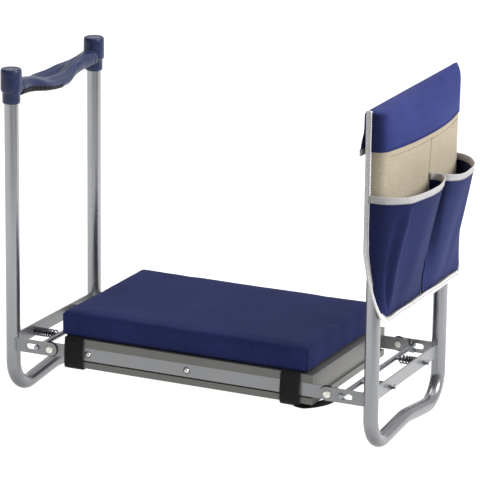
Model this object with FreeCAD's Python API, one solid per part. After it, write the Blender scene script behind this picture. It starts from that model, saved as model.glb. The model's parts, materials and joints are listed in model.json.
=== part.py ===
import FreeCAD, Part
import math
import os

# Garden kneeler seat: a padded tray hung between two tubular leg frames that fold in over the pad.
# X runs along the seat, Y across it and Z up. The floor is z = 0. All sizes are in millimetres.
# Shapes are drawn about the middle of the seat and moved by FRAME_SHIFT when they are saved.

V = FreeCAD.Vector
X_AXIS = V(1, 0, 0)
Y_AXIS = V(0, 1, 0)
Z_AXIS = V(0, 0, 1)
LEFT = -1
RIGHT = 1
SIDE_NAMES = {LEFT: "left", RIGHT: "right"}
END_NAMES = {-1: "front", 1: "back"}

# Leg frames
TUBE_RADIUS = 11.0
TUBE_WALL = 1.2
UPRIGHT_X = 296.0
UPRIGHT_Y = 130.5
BEND_RADIUS = 45.0
RAIL_SLOPE = math.radians(6.0)
RAIL_TOP_RADIUS = 120.0
TUBE_TOP = 505.0

# Hand grips
CAP_TOP = 511.0
CAP_RADIUS = 15.25
CAP_TIP_RADIUS = 14.8
CAP_HEIGHT = 40.0
CAP_ROUND = 3.0
COLLAR_RADIUS = 12.5
COLLAR_HEIGHT = 20.0
GRIP_END_Z = 482.5
GRIP_SAG = 12.5
GRIP_END_HALF_WIDTH = 9.6
GRIP_MID_HALF_WIDTH = 22.0
GRIP_END_HALF_HEIGHT = 9.2
GRIP_MID_HALF_HEIGHT = 11.0
GRIP_REACH = 121.0
GRIP_SECTIONS = 9

# Pivots, brackets and the cross-bar between each pair of uprights
PIVOT_REACH = 66.6
PIVOT_X = UPRIGHT_X - PIVOT_REACH
PIVOT_Z = 84.5
RIVET_RADIUS = 3.0
RIVET_HEAD_RADIUS = 6.0
RIVET_HEAD_HEIGHT = 2.6
RIVET_TAIL_RADIUS = 5.0
RIVET_TAIL_HEIGHT = 2.0
RIVET_PLAY = 0.05
WASHER_RADIUS = 8.0
WASHER_THICKNESS = 1.0
BRACKET_THICKNESS = 3.0
BRACKET_HALF_HEIGHT = 10.25
BRACKET_NOSE = 1.2
SLOT_NEAR = 17.5
SLOT_FAR = 40.0
SLOT_RADIUS = 4.5
CROSS_BAR_THICKNESS = 3.0
CROSS_BAR_X = 295.5
CROSS_BAR_BOTTOM = 77.0
CROSS_BAR_TOP = 97.0
TUBE_BURY = 5.5

# Spring-loaded lock
ROD_RADIUS = 4.0
ROD_REACH_Y = 140.5
ROD_CHAMFER = 0.8
PIN_RADIUS = 3.0
PIN_Y = 65.0
PIN_PLAY = 0.3
PIN_END_X = 306.5
SPRING_WIRE = 0.9
SPRING_RADIUS = 5.2
SPRING_TURNS = 8
SPRING_GAP = 0.4
COTTER_RADIUS = 0.9
COTTER_HEIGHT = 15.0
COTTER_EYE_RADIUS = 2.4
COTTER_X = 302.5

# Seat tray
TRAY_HALF_LENGTH = 205.0
TRAY_HALF_WIDTH = 134.5
TRAY_BOTTOM = 62.4
TRAY_TOP = 107.4
LOWER_BAND_TOP = 72.3
UPPER_BAND_BOTTOM = 94.6
WEB_INSET = 3.5
SHEET = 1.2
TOP_FLANGE = 20.0
BOTTOM_FLANGE = 14.0
PANEL_THICKNESS = 1.2
PANEL_PLAY = 0.5

# Hinge bars and the screws that hold them to the long rails
BAR_THICKNESS = 3.0
BAR_HALF_HEIGHT = 10.0
BAR_INNER_Y = TRAY_HALF_WIDTH - WEB_INSET
BAR_OUTER_Y = BAR_INNER_Y + BAR_THICKNESS
BAR_JAW_REACH = 26.0
BAR_JAW_TOP = -4.4
BAR_NOSE_RADIUS = 17.7
SCREW_X = 165.5
SCREW_RADIUS = 2.5
SCREW_HEAD_RADIUS = 4.5
SCREW_HEAD_HEIGHT = 2.2
SCREW_LENGTH = 13.0
RECESS_WIDTH = 1.1
RECESS_REACH = 2.4
RECESS_DEPTH = 1.3
NUT_ACROSS_CORNERS = 9.2
NUT_HEIGHT = 4.0

# Kneeling pad and the straps that hold it to the tray
PAD_CENTRE_X = -8.5
PAD_LENGTH = 412.0
PAD_WIDTH = 268.0
PAD_TOP = 146.5
PAD_CORNER = 8.0
PAD_EDGE = 3.0
COVER = 1.5
COVER_BASE = 3.2
FOLD_LIMIT_LEFT = 87.0
PAD_DENT_RADIUS = TUBE_RADIUS + 1.0
STRAP_OFFSET = 179.0
STRAP_WIDTH = 28.0
STRAP_THICKNESS = 1.5
STRAP_PLAY = 0.1
STRAP_INNER_Y = BAR_OUTER_Y + SCREW_HEAD_HEIGHT + 0.6
STRAP_INNER_BOTTOM = TRAY_BOTTOM - 0.6

# Tool bag, which hangs over the right hand grip
CLOTH = 2.0
BAG_HALF_WIDTH = 147.5
BAG_END_HALF_DEPTH = 18.0
BAG_MID_HALF_DEPTH = 25.5
BAG_TOP = CAP_TOP + 3.0
HOOD_BOTTOM = 440.0
BAG_BOTTOM = 207.0
BINDING = 8.0
POCKET_TOP = 392.0
POCKET_SPLIT = -4.0
POCKET_DEPTH_TOP = 50.0
POCKET_DEPTH_BOTTOM = 6.0
POCKET_SIDE = 14.0
POCKET_SHOULDER = 52.0
SHOULDER_DEPTH = 0.55
FRONT_POCKET = (-BAG_HALF_WIDTH, POCKET_SPLIT - 1.0)
REAR_POCKET = (POCKET_SPLIT + 1.0, BAG_HALF_WIDTH)
PANEL_X = UPRIGHT_X + BAG_END_HALF_DEPTH - CLOTH
POCKET_X = PANEL_X + CLOTH

# The origin is on the floor, under the middle of the whole object's length.
FRAME_SHIFT = (UPRIGHT_X + CAP_RADIUS - POCKET_X - POCKET_DEPTH_TOP) / 2


def save(name, shape):
    """Moves a shape into the object's own frame and writes it as one node."""
    placed = shape.copy()
    placed.translate(V(FRAME_SHIFT, 0, 0))
    placed.exportStep("parts/" + name + ".step")


def box(x0, x1, y0, y1, z0, z1):
    return Part.makeBox(x1 - x0, y1 - y0, z1 - z0, V(x0, y0, z0))


def side_box(side, x0, x1, y0, y1, z0, z1):
    """A box whose x limits are distances from the middle of the seat towards one side."""
    return box(min(side * x0, side * x1), max(side * x0, side * x1), y0, y1, z0, z1)


def rod(radius, start, direction, length):
    return Part.makeCylinder(radius, length, start, direction)


def across(radius, x, z, y0, y1):
    """A cylinder that runs along Y."""
    return rod(radius, V(x, min(y0, y1), z), Y_AXIS, abs(y1 - y0))


def union(shapes):
    result = shapes[0]
    for shape in shapes[1:]:
        result = result.fuse(shape)
    return result.removeSplitter()


def arc(centre, radius, start, end, x):
    """An arc in the plane of one leg frame, by its start and end angles."""
    points = []
    for angle in (start, (start + end) / 2, end):
        offset = V(0, radius * math.cos(angle), radius * math.sin(angle))
        points.append(V(x, centre[0], centre[1]) + offset)
    return Part.Arc(points[0], points[1], points[2]).toShape()


def line(start, end):
    return Part.LineSegment(start, end).toShape()


# ---------------------------------------------------------------- leg frames

def frame_path(x):
    """The tube's centreline: two uprights, two foot bends and a floor rail that rises in the middle."""
    bend_y = UPRIGHT_Y - BEND_RADIUS
    bend_z = TUBE_RADIUS + BEND_RADIUS
    slope_y = bend_y - BEND_RADIUS * math.sin(RAIL_SLOPE)
    slope_z = bend_z - BEND_RADIUS * math.cos(RAIL_SLOPE)
    top_y = RAIL_TOP_RADIUS * math.sin(RAIL_SLOPE)
    top_z = slope_z + (slope_y - top_y) * math.tan(RAIL_SLOPE)
    top_centre = (0, top_z - RAIL_TOP_RADIUS * math.cos(RAIL_SLOPE))
    down = -math.pi / 2
    up = math.pi / 2
    return Part.Wire([
        line(V(x, -UPRIGHT_Y, TUBE_TOP), V(x, -UPRIGHT_Y, bend_z)),
        arc((-bend_y, bend_z), BEND_RADIUS, -math.pi, down + RAIL_SLOPE, x),
        line(V(x, -slope_y, slope_z), V(x, -top_y, top_z)),
        arc(top_centre, RAIL_TOP_RADIUS, up + RAIL_SLOPE, up - RAIL_SLOPE, x),
        line(V(x, top_y, top_z), V(x, slope_y, slope_z)),
        arc((bend_y, bend_z), BEND_RADIUS, down - RAIL_SLOPE, 0, x),
        line(V(x, UPRIGHT_Y, bend_z), V(x, UPRIGHT_Y, TUBE_TOP)),
    ])


def leg_tube(side):
    x = side * UPRIGHT_X
    start = V(x, -UPRIGHT_Y, TUBE_TOP)
    outer = Part.Face(Part.Wire(Part.makeCircle(TUBE_RADIUS, start, Z_AXIS)))
    inner = Part.Face(Part.Wire(Part.makeCircle(TUBE_RADIUS - TUBE_WALL, start, Z_AXIS)))
    ring = outer.cut(inner).Faces[0]
    return frame_path(x).makePipe(ring)


def uprights(side, radius, bottom, top):
    """Both straight uprights of one frame as solid bars, for cutting what fits round or against them."""
    bars = []
    for end in END_NAMES:
        bars.append(rod(radius, V(side * UPRIGHT_X, end * UPRIGHT_Y, bottom), Z_AXIS, top - bottom))
    return bars


def grip_section(side, y):
    """An oval section of the grip: narrow at the sockets, broad and low in the middle."""
    swell = math.cos(math.pi / 2 * y / GRIP_REACH) ** 2
    half_width = GRIP_END_HALF_WIDTH + (GRIP_MID_HALF_WIDTH - GRIP_END_HALF_WIDTH) * swell
    half_height = GRIP_END_HALF_HEIGHT + (GRIP_MID_HALF_HEIGHT - GRIP_END_HALF_HEIGHT) * swell
    centre = V(side * UPRIGHT_X, y, GRIP_END_Z - GRIP_SAG * swell)
    oval = Part.Ellipse(centre + V(half_width, 0, 0), centre + V(0, 0, half_height), centre)
    return Part.Wire(oval.toShape())


def handle(side):
    """One moulded piece: two sockets that push over the tube ends, joined by the grip."""
    sections = []
    for step in range(GRIP_SECTIONS):
        sections.append(grip_section(side, GRIP_REACH * (2 * step / (GRIP_SECTIONS - 1) - 1)))
    pieces = [Part.makeLoft(sections, True, False)]
    for end in END_NAMES:
        base = V(side * UPRIGHT_X, end * UPRIGHT_Y, CAP_TOP - CAP_HEIGHT)
        cap = Part.makeCone(CAP_RADIUS, CAP_TIP_RADIUS, CAP_HEIGHT, base, Z_AXIS)
        rim = [edge for edge in cap.Edges if edge.BoundBox.ZMin > CAP_TOP - 0.1]
        pieces.append(cap.makeFillet(CAP_ROUND, rim))
        pieces.append(rod(COLLAR_RADIUS, base - V(0, 0, COLLAR_HEIGHT), Z_AXIS, COLLAR_HEIGHT))
    body = union(pieces)
    return body.cut(uprights(side, TUBE_RADIUS, CAP_TOP - CAP_HEIGHT - COLLAR_HEIGHT - 1, TUBE_TOP))


def bracket(side, end):
    """A slotted flat link, welded to the upright and riveted to the hinge bar."""
    inner_y = end * (BAR_OUTER_Y + WASHER_THICKNESS)
    outer_y = inner_y + end * BRACKET_THICKNESS
    nose_x = side * (PIVOT_X - BRACKET_NOSE)
    low_y = min(inner_y, outer_y)
    high_y = max(inner_y, outer_y)
    low_z = PIVOT_Z - BRACKET_HALF_HEIGHT
    high_z = PIVOT_Z + BRACKET_HALF_HEIGHT
    strip = side_box(side, PIVOT_X - BRACKET_NOSE, UPRIGHT_X - 2, low_y, high_y, low_z, high_z)
    plate = union([strip, across(BRACKET_HALF_HEIGHT, nose_x, PIVOT_Z, inner_y, outer_y)])
    near = PIVOT_X + SLOT_NEAR + SLOT_RADIUS
    far = PIVOT_X + SLOT_FAR - SLOT_RADIUS
    slot = side_box(side, near, far, low_y, high_y, PIVOT_Z - SLOT_RADIUS, PIVOT_Z + SLOT_RADIUS)
    cuts = [slot, across(RIVET_RADIUS, side * PIVOT_X, PIVOT_Z, inner_y, outer_y)]
    for x in (near, far):
        cuts.append(across(SLOT_RADIUS, side * x, PIVOT_Z, inner_y, outer_y))
    return plate.cut(cuts + uprights(side, TUBE_RADIUS, 50, 150))


def cross_bar(side):
    """A flat bar welded between the uprights, with a hole for each guide pin."""
    half = CROSS_BAR_THICKNESS / 2
    reach = UPRIGHT_Y - TUBE_BURY
    bar = side_box(
        side, CROSS_BAR_X - half, CROSS_BAR_X + half, -reach, reach, CROSS_BAR_BOTTOM, CROSS_BAR_TOP
    )
    cuts = uprights(side, TUBE_RADIUS, 50, 150)
    for end in END_NAMES:
        start = V(side * (CROSS_BAR_X - 5), end * PIN_Y, PIVOT_Z)
        cuts.append(rod(PIN_RADIUS + PIN_PLAY, start, V(side, 0, 0), 10))
    return bar.cut(cuts)


def pivot_rivet(side, end):
    """Domed head outside the bracket, shank through bracket, washer and bar, and a flat tail inside."""
    x = side * PIVOT_X
    head_y = end * (BAR_OUTER_Y + WASHER_THICKNESS + BRACKET_THICKNESS)
    tail_y = end * BAR_INNER_Y
    shank = across(RIVET_RADIUS, x, PIVOT_Z, tail_y, head_y)
    tail = across(RIVET_TAIL_RADIUS, x, PIVOT_Z, tail_y, tail_y - end * RIVET_TAIL_HEIGHT)
    head = across(RIVET_HEAD_RADIUS, x, PIVOT_Z, head_y, head_y + end * RIVET_HEAD_HEIGHT)
    rim = [edge for edge in head.Edges if edge.BoundBox.YLength < 0.01]
    rim = [edge for edge in rim if abs(edge.BoundBox.YMin) > abs(head_y) + RIVET_HEAD_HEIGHT / 2]
    head = head.makeFillet(RIVET_HEAD_HEIGHT * 0.8, rim)
    return union([shank, head, tail])


def pivot_washer(side, end):
    inner_y = end * BAR_OUTER_Y
    outer_y = inner_y + end * WASHER_THICKNESS
    disc = across(WASHER_RADIUS, side * PIVOT_X, PIVOT_Z, inner_y, outer_y)
    return disc.cut(across(RIVET_RADIUS, side * PIVOT_X, PIVOT_Z, inner_y, outer_y))


# ---------------------------------------------------------------- spring-loaded lock

ROD_X = PIVOT_X + SLOT_NEAR + SLOT_RADIUS


def lock_rod(side):
    """The bar that rests in all the slots of one frame and under the ends of both hinge bars."""
    bar = across(ROD_RADIUS, side * ROD_X, PIVOT_Z, -ROD_REACH_Y, ROD_REACH_Y)
    ends = [edge for edge in bar.Edges if edge.Curve.TypeId == "Part::GeomCircle"]
    bar = bar.makeChamfer(ROD_CHAMFER, ends)
    holes = []
    for end in END_NAMES:
        holes.append(rod(PIN_RADIUS, V(side * (ROD_X - 2), end * PIN_Y, PIVOT_Z), V(side, 0, 0), 8))
    return bar.cut(holes)


def guide_pin(side, end):
    """A pin let into the lock rod, which slides through the cross-bar."""
    start = V(side * (ROD_X - 2), end * PIN_Y, PIVOT_Z)
    length = PIN_END_X - ROD_X + 2
    pin = rod(PIN_RADIUS, start, V(side, 0, 0), length)
    hole = rod(COTTER_RADIUS, V(side * COTTER_X, end * PIN_Y, PIVOT_Z - 10), Z_AXIS, 20)
    return pin.cut(hole)


def cotter(side, end):
    """A split pin through the end of the guide pin: a straight leg with an eye above it."""
    x = side * COTTER_X
    y = end * PIN_Y
    eye_z = PIVOT_Z + COTTER_HEIGHT / 2
    leg = rod(COTTER_RADIUS, V(x, y, eye_z - COTTER_HEIGHT), Z_AXIS, COTTER_HEIGHT)
    eye = Part.makeTorus(COTTER_EYE_RADIUS, COTTER_RADIUS, V(x, y, eye_z + COTTER_EYE_RADIUS), X_AXIS)
    return union([leg, eye])


def spring(side, end):
    """A coil spring round the guide pin, from the lock rod to the cross-bar."""
    start_x = ROD_X + ROD_RADIUS + SPRING_GAP + SPRING_WIRE
    end_x = CROSS_BAR_X - CROSS_BAR_THICKNESS / 2 - SPRING_GAP - SPRING_WIRE
    length = end_x - start_x
    helix = Part.makeHelix(length / SPRING_TURNS, length, SPRING_RADIUS)
    wire_end = Part.Wire(Part.makeCircle(SPRING_WIRE, V(SPRING_RADIUS, 0, 0), Y_AXIS))
    coil = Part.Wire(helix.Edges).makePipeShell([wire_end], True, True)
    coil.rotate(V(0, 0, 0), Y_AXIS, side * 90)
    coil.translate(V(side * start_x, end * PIN_Y, PIVOT_Z))
    return coil


# ---------------------------------------------------------------- seat

def ring(inset, width, z0, z1):
    """A rectangular frame round the tray: inset from its outer size, and so wide."""
    long_side = TRAY_HALF_LENGTH - inset
    short_side = TRAY_HALF_WIDTH - inset
    outer = box(-long_side, long_side, -short_side, short_side, z0, z1)
    long_side -= width
    short_side -= width
    return outer.cut(box(-long_side, long_side, -short_side, short_side, z0, z1))


def tray_profile():
    """The folded sheet all round the tray: two bands that stand proud and a web between them."""
    return union([
        ring(0, TOP_FLANGE, TRAY_TOP - SHEET, TRAY_TOP),
        ring(0, SHEET, UPPER_BAND_BOTTOM, TRAY_TOP),
        ring(0, WEB_INSET + SHEET, UPPER_BAND_BOTTOM, UPPER_BAND_BOTTOM + SHEET),
        ring(WEB_INSET, SHEET, LOWER_BAND_TOP - SHEET, UPPER_BAND_BOTTOM + SHEET),
        ring(0, WEB_INSET + SHEET, LOWER_BAND_TOP - SHEET, LOWER_BAND_TOP),
        ring(0, SHEET, TRAY_BOTTOM, LOWER_BAND_TOP),
        ring(0, BOTTOM_FLANGE, TRAY_BOTTOM, TRAY_BOTTOM + SHEET),
    ])


def mitre_wedge(direction):
    """The part of the plan that one rail covers, with a mitre at each corner."""
    long_side = TRAY_HALF_LENGTH
    short_side = TRAY_HALF_WIDTH
    inner = long_side - short_side
    outlines = {
        "front": [(-long_side, -short_side), (long_side, -short_side), (inner, 0), (-inner, 0)],
        "back": [(-long_side, short_side), (long_side, short_side), (inner, 0), (-inner, 0)],
        "left": [(-long_side, -short_side), (-long_side, short_side), (-inner, 0)],
        "right": [(long_side, -short_side), (long_side, short_side), (inner, 0)],
    }
    points = [V(x, y, TRAY_BOTTOM - 1) for x, y in outlines[direction]]
    return Part.Face(Part.makePolygon(points + points[:1])).extrude(V(0, 0, TRAY_TOP - TRAY_BOTTOM + 2))


def screw_positions():
    return (-SCREW_X, 0.0, SCREW_X)


def screw_holes():
    return [across(SCREW_RADIUS, x, PIVOT_Z, -TRAY_HALF_WIDTH, TRAY_HALF_WIDTH) for x in screw_positions()]


def tray_rail(direction):
    return tray_profile().common(mitre_wedge(direction)).cut(screw_holes())


def seat_panel():
    """The sheet under the pad, held beneath the top flange of the rails."""
    top = TRAY_TOP - SHEET
    length = TRAY_HALF_LENGTH - WEB_INSET - SHEET - PANEL_PLAY
    width = TRAY_HALF_WIDTH - WEB_INSET - SHEET - PANEL_PLAY
    return box(-length, length, -width, width, top - PANEL_THICKNESS, top)


def hinge_bar(end):
    """A flat bar along the tray. Each end is rounded above and has a jaw that reaches under the lock rod."""
    low_y = min(end * BAR_INNER_Y, end * BAR_OUTER_Y)
    high_y = max(end * BAR_INNER_Y, end * BAR_OUTER_Y)
    low_z = PIVOT_Z - BAR_HALF_HEIGHT
    high_z = PIVOT_Z + BAR_HALF_HEIGHT
    pieces = [box(-PIVOT_X, PIVOT_X, low_y, high_y, low_z, high_z)]
    for side in SIDE_NAMES:
        reach = PIVOT_X + BAR_JAW_REACH
        blank = side_box(side, PIVOT_X, reach, low_y, high_y, low_z, high_z)
        nose = across(BAR_NOSE_RADIUS, side * PIVOT_X, PIVOT_Z, low_y, high_y)
        jaw = side_box(side, PIVOT_X, reach, low_y, high_y, low_z, PIVOT_Z + BAR_JAW_TOP)
        pieces.append(blank.common(nose))
        pieces.append(jaw)
    cuts = screw_holes()
    for side in SIDE_NAMES:
        cuts.append(across(RIVET_RADIUS + RIVET_PLAY, side * PIVOT_X, PIVOT_Z, low_y, high_y))
    return union(pieces).cut(cuts)


def rail_screw(x, end):
    """A pan-head screw with a cross recess, through the hinge bar and the rail's web."""
    seat_y = end * BAR_OUTER_Y
    top_y = seat_y + end * SCREW_HEAD_HEIGHT
    head = across(SCREW_HEAD_RADIUS, x, PIVOT_Z, seat_y, top_y)
    rim = [edge for edge in head.Edges if abs(edge.BoundBox.YMin - top_y) < 0.01]
    rim = [edge for edge in rim if edge.BoundBox.YLength < 0.01]
    head = head.makeFillet(SCREW_HEAD_HEIGHT * 0.6, rim)
    shank = across(SCREW_RADIUS, x, PIVOT_Z, seat_y, seat_y - end * SCREW_LENGTH)
    low_y = min(top_y, top_y - end * RECESS_DEPTH)
    high_y = max(top_y, top_y - end * RECESS_DEPTH)
    half = RECESS_WIDTH / 2
    flat = box(x - RECESS_REACH, x + RECESS_REACH, low_y, high_y, PIVOT_Z - half, PIVOT_Z + half)
    tall = box(x - half, x + half, low_y, high_y, PIVOT_Z - RECESS_REACH, PIVOT_Z + RECESS_REACH)
    return union([head, shank]).cut([flat, tall])


def rail_nut(x, end):
    face_y = end * (BAR_INNER_Y - SHEET)
    points = []
    for corner in range(6):
        angle = math.radians(60 * corner)
        reach = NUT_ACROSS_CORNERS / 2
        points.append(V(x + reach * math.cos(angle), face_y, PIVOT_Z + reach * math.sin(angle)))
    blank = Part.Face(Part.makePolygon(points + points[:1])).extrude(V(0, -end * NUT_HEIGHT, 0))
    return blank.cut(across(SCREW_RADIUS, x, PIVOT_Z, face_y, face_y - end * NUT_HEIGHT))


def pad_block(inset, bottom):
    """The pad's outline as a soft-edged block, moved in from its outer size all round but the bottom."""
    x0 = PAD_CENTRE_X - PAD_LENGTH / 2 + inset
    y0 = -PAD_WIDTH / 2 + inset
    length = PAD_LENGTH - 2 * inset
    width = PAD_WIDTH - 2 * inset
    block = Part.makeBox(length, width, PAD_TOP - inset - bottom, V(x0, y0, bottom))
    uprights_of_block = [edge for edge in block.Edges if edge.BoundBox.ZLength > 1]
    block = block.makeFillet(PAD_CORNER - inset, uprights_of_block)
    rim = [edge for edge in block.Edges if edge.BoundBox.ZMin > PAD_TOP - inset - 0.01]
    return block.makeFillet(PAD_EDGE - inset * 0.8, rim)


def folded_uprights(extra):
    """Where the left uprights lie when that frame is folded, as bars, so that the pad gives way to them."""
    bars = []
    for bar in uprights(LEFT, PAD_DENT_RADIUS + extra, TUBE_RADIUS, TUBE_TOP):
        bar.rotate(V(-PIVOT_X, 0, PIVOT_Z), Y_AXIS, FOLD_LIMIT_LEFT)
        bars.append(bar)
    return bars


def strap_x(side):
    return PAD_CENTRE_X + side * STRAP_OFFSET


def strap(side):
    """A closed loop of webbing round the tray, under the pad."""
    half = STRAP_WIDTH / 2
    x = strap_x(side)
    y = STRAP_INNER_Y
    t = STRAP_THICKNESS
    outer = box(x - half, x + half, -y - t, y + t, STRAP_INNER_BOTTOM - t, TRAY_TOP + t)
    corners = [edge for edge in outer.Edges if edge.BoundBox.XLength > 1]
    outer = outer.makeFillet(2 * t, corners)
    inner = box(x - half, x + half, -y, y, STRAP_INNER_BOTTOM, TRAY_TOP)
    corners = [edge for edge in inner.Edges if edge.BoundBox.XLength > 1]
    return outer.cut(inner.makeFillet(t, corners))


def strap_recesses():
    cuts = []
    for side in SIDE_NAMES:
        half = STRAP_WIDTH / 2 + STRAP_PLAY
        x = strap_x(side)
        top = TRAY_TOP + STRAP_THICKNESS + STRAP_PLAY
        cuts.append(box(x - half, x + half, -PAD_WIDTH, PAD_WIDTH, TRAY_TOP - 1, top))
    return cuts


def pad_foam():
    return pad_block(COVER, TRAY_TOP + COVER_BASE).cut(folded_uprights(COVER))


def pad_cover():
    outside = pad_block(0, TRAY_TOP).cut(folded_uprights(0) + strap_recesses())
    return outside.cut(pad_foam())


# ---------------------------------------------------------------- tool bag

def lens(end_half_depth, mid_half_depth, half_width, z0, z1):
    """An upright block whose two broad faces bow out in the middle, to clear the hand grip."""
    corners = []
    for sx, sy in ((-1, -1), (-1, 1), (1, 1), (1, -1)):
        corners.append(V(UPRIGHT_X + sx * end_half_depth, sy * half_width, z0))
    inner_mid = V(UPRIGHT_X - mid_half_depth, 0, z0)
    outer_mid = V(UPRIGHT_X + mid_half_depth, 0, z0)
    outline = Part.Wire([
        Part.Arc(corners[0], inner_mid, corners[1]).toShape(),
        line(corners[1], corners[2]),
        Part.Arc(corners[2], outer_mid, corners[3]).toShape(),
        line(corners[3], corners[0]),
    ])
    return Part.Face(outline).extrude(V(0, 0, z1 - z0))


def bag_hood():
    """The sleeve of cloth that sits over both caps and the grip."""
    outside = lens(BAG_END_HALF_DEPTH, BAG_MID_HALF_DEPTH, BAG_HALF_WIDTH, HOOD_BOTTOM, BAG_TOP)
    inner_end = BAG_END_HALF_DEPTH - CLOTH
    inner_middle = BAG_MID_HALF_DEPTH - CLOTH
    inside = lens(inner_end, inner_middle, BAG_HALF_WIDTH - 1, HOOD_BOTTOM, BAG_TOP - CLOTH)
    return outside.cut(inside)


def bag_sheet(x, y0, y1, z0, z1):
    return box(x, x + CLOTH, y0, y1, z0, z1)


def bag_panel():
    """The flat cloth that hangs below the hood on the outer side of the uprights."""
    inner_width = BAG_HALF_WIDTH - BINDING
    return bag_sheet(PANEL_X, -inner_width, inner_width, BAG_BOTTOM + BINDING, HOOD_BOTTOM)


def bag_edge_binding():
    """The woven tape round the sides and the bottom of the panel."""
    whole = bag_sheet(PANEL_X, -BAG_HALF_WIDTH, BAG_HALF_WIDTH, BAG_BOTTOM, HOOD_BOTTOM)
    return whole.cut(bag_panel())


def pocket_outline(span, depth, z):
    """A pocket's plan at one height: flat against the panel, bellied out in the middle by its depth."""
    y0, y1 = span
    points = [
        V(POCKET_X, y0, z),
        V(POCKET_X + depth * SHOULDER_DEPTH, y0 + POCKET_SIDE, z),
        V(POCKET_X + depth, y0 + POCKET_SHOULDER, z),
        V(POCKET_X + depth, y1 - POCKET_SHOULDER, z),
        V(POCKET_X + depth * SHOULDER_DEPTH, y1 - POCKET_SIDE, z),
        V(POCKET_X, y1, z),
    ]
    return Part.makePolygon(points + points[:1])


def pocket_wedge(span, inset):
    """The pocket's body between its closed foot and its open mouth."""
    inner_span = (span[0] + inset, span[1] - inset)
    foot_z = BAG_BOTTOM + inset
    foot = pocket_outline(inner_span, POCKET_DEPTH_BOTTOM - inset, foot_z)
    mouth = pocket_outline(inner_span, POCKET_DEPTH_TOP - inset, POCKET_TOP)
    return Part.makeLoft([foot, mouth], True, True)


def pocket_shell(span):
    return pocket_wedge(span, 0).cut(pocket_wedge(span, CLOTH))


def above(z):
    return box(0, 600, -300, 300, z, 600)


def pocket_cloth(span):
    return pocket_shell(span).cut(above(POCKET_TOP - BINDING))


def pocket_rim(span):
    return pocket_shell(span).common(above(POCKET_TOP - BINDING))


# ---------------------------------------------------------------- the object

def save_leg(side):
    name = SIDE_NAMES[side]
    save(name + "_leg_tube", leg_tube(side))
    save(name + "_handle", handle(side))
    save(name + "_cross_bar", cross_bar(side))
    save(name + "_pivot_rivets", Part.makeCompound([pivot_rivet(side, end) for end in END_NAMES]))
    save(name + "_pivot_washers", Part.makeCompound([pivot_washer(side, end) for end in END_NAMES]))
    save(name + "_lock_rod", lock_rod(side))
    save(name + "_cotter_pins", Part.makeCompound([cotter(side, end) for end in END_NAMES]))
    for end, end_name in END_NAMES.items():
        save(name + "_bracket_" + end_name, bracket(side, end))
        save(name + "_guide_pin_" + end_name, guide_pin(side, end))
        save(name + "_spring_" + end_name, spring(side, end))
    save(name + "_strap", strap(side))


def save_seat():
    for direction in ("front", "back", "left", "right"):
        save("tray_rail_" + direction, tray_rail(direction))
    save("seat_panel", seat_panel())
    for end, end_name in END_NAMES.items():
        save("hinge_bar_" + end_name, hinge_bar(end))
        screws = [rail_screw(x, end) for x in screw_positions()]
        nuts = [rail_nut(x, end) for x in screw_positions()]
        save("rail_screws_" + end_name, Part.makeCompound(screws))
        save("rail_nuts_" + end_name, Part.makeCompound(nuts))
    save("pad_foam", pad_foam())
    save("pad_cover", pad_cover())


def save_bag():
    save("bag_hood", bag_hood())
    save("bag_panel", bag_panel())
    save("bag_edge_binding", bag_edge_binding())
    save("bag_pocket_front", pocket_cloth(FRONT_POCKET))
    save("bag_pocket_rear", pocket_cloth(REAR_POCKET))
    save("bag_rim_front", pocket_rim(FRONT_POCKET))
    save("bag_rim_rear", pocket_rim(REAR_POCKET))


os.makedirs("parts", exist_ok=True)
for leg_side in SIDE_NAMES:
    save_leg(leg_side)
save_seat()
save_bag()
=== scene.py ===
import json
import math
import random

import bmesh
import bpy
import numpy as np
from mathutils import Matrix, Vector


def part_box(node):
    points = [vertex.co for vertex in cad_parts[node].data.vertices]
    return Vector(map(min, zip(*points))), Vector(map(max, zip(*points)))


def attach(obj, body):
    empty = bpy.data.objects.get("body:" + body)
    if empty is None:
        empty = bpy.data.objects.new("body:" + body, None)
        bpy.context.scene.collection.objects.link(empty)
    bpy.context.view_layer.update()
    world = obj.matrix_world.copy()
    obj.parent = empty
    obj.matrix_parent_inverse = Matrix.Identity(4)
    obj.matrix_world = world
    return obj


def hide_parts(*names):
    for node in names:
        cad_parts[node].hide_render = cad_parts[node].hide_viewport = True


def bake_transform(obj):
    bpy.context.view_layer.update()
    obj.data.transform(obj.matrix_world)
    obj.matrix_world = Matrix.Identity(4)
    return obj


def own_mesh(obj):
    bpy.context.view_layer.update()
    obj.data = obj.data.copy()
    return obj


# Garden kneeler seat. Lengths below are in millimetres, measured from the middle of the seat:
# X along it, Y from front to back, Z up from the floor. at() turns them into the frame's metres.

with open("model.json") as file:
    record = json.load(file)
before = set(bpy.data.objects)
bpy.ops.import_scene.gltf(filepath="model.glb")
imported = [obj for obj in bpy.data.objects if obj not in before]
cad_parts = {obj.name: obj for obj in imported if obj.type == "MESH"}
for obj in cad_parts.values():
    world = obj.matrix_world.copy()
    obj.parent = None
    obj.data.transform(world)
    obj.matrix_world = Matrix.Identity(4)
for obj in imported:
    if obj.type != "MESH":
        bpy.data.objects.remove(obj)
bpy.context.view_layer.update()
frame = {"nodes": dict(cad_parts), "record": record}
MM = 0.001
rng = random.Random(7)


def node_box(name):
    low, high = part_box(name)
    return Vector(low) / MM, Vector(high) / MM


RAIL_LOW, RAIL_HIGH = node_box("tray_rail_front")
SEAT_X = (RAIL_LOW.x + RAIL_HIGH.x) / 2


def at(x, y, z):
    return Vector((x + SEAT_X, y, z)) * MM


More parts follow.
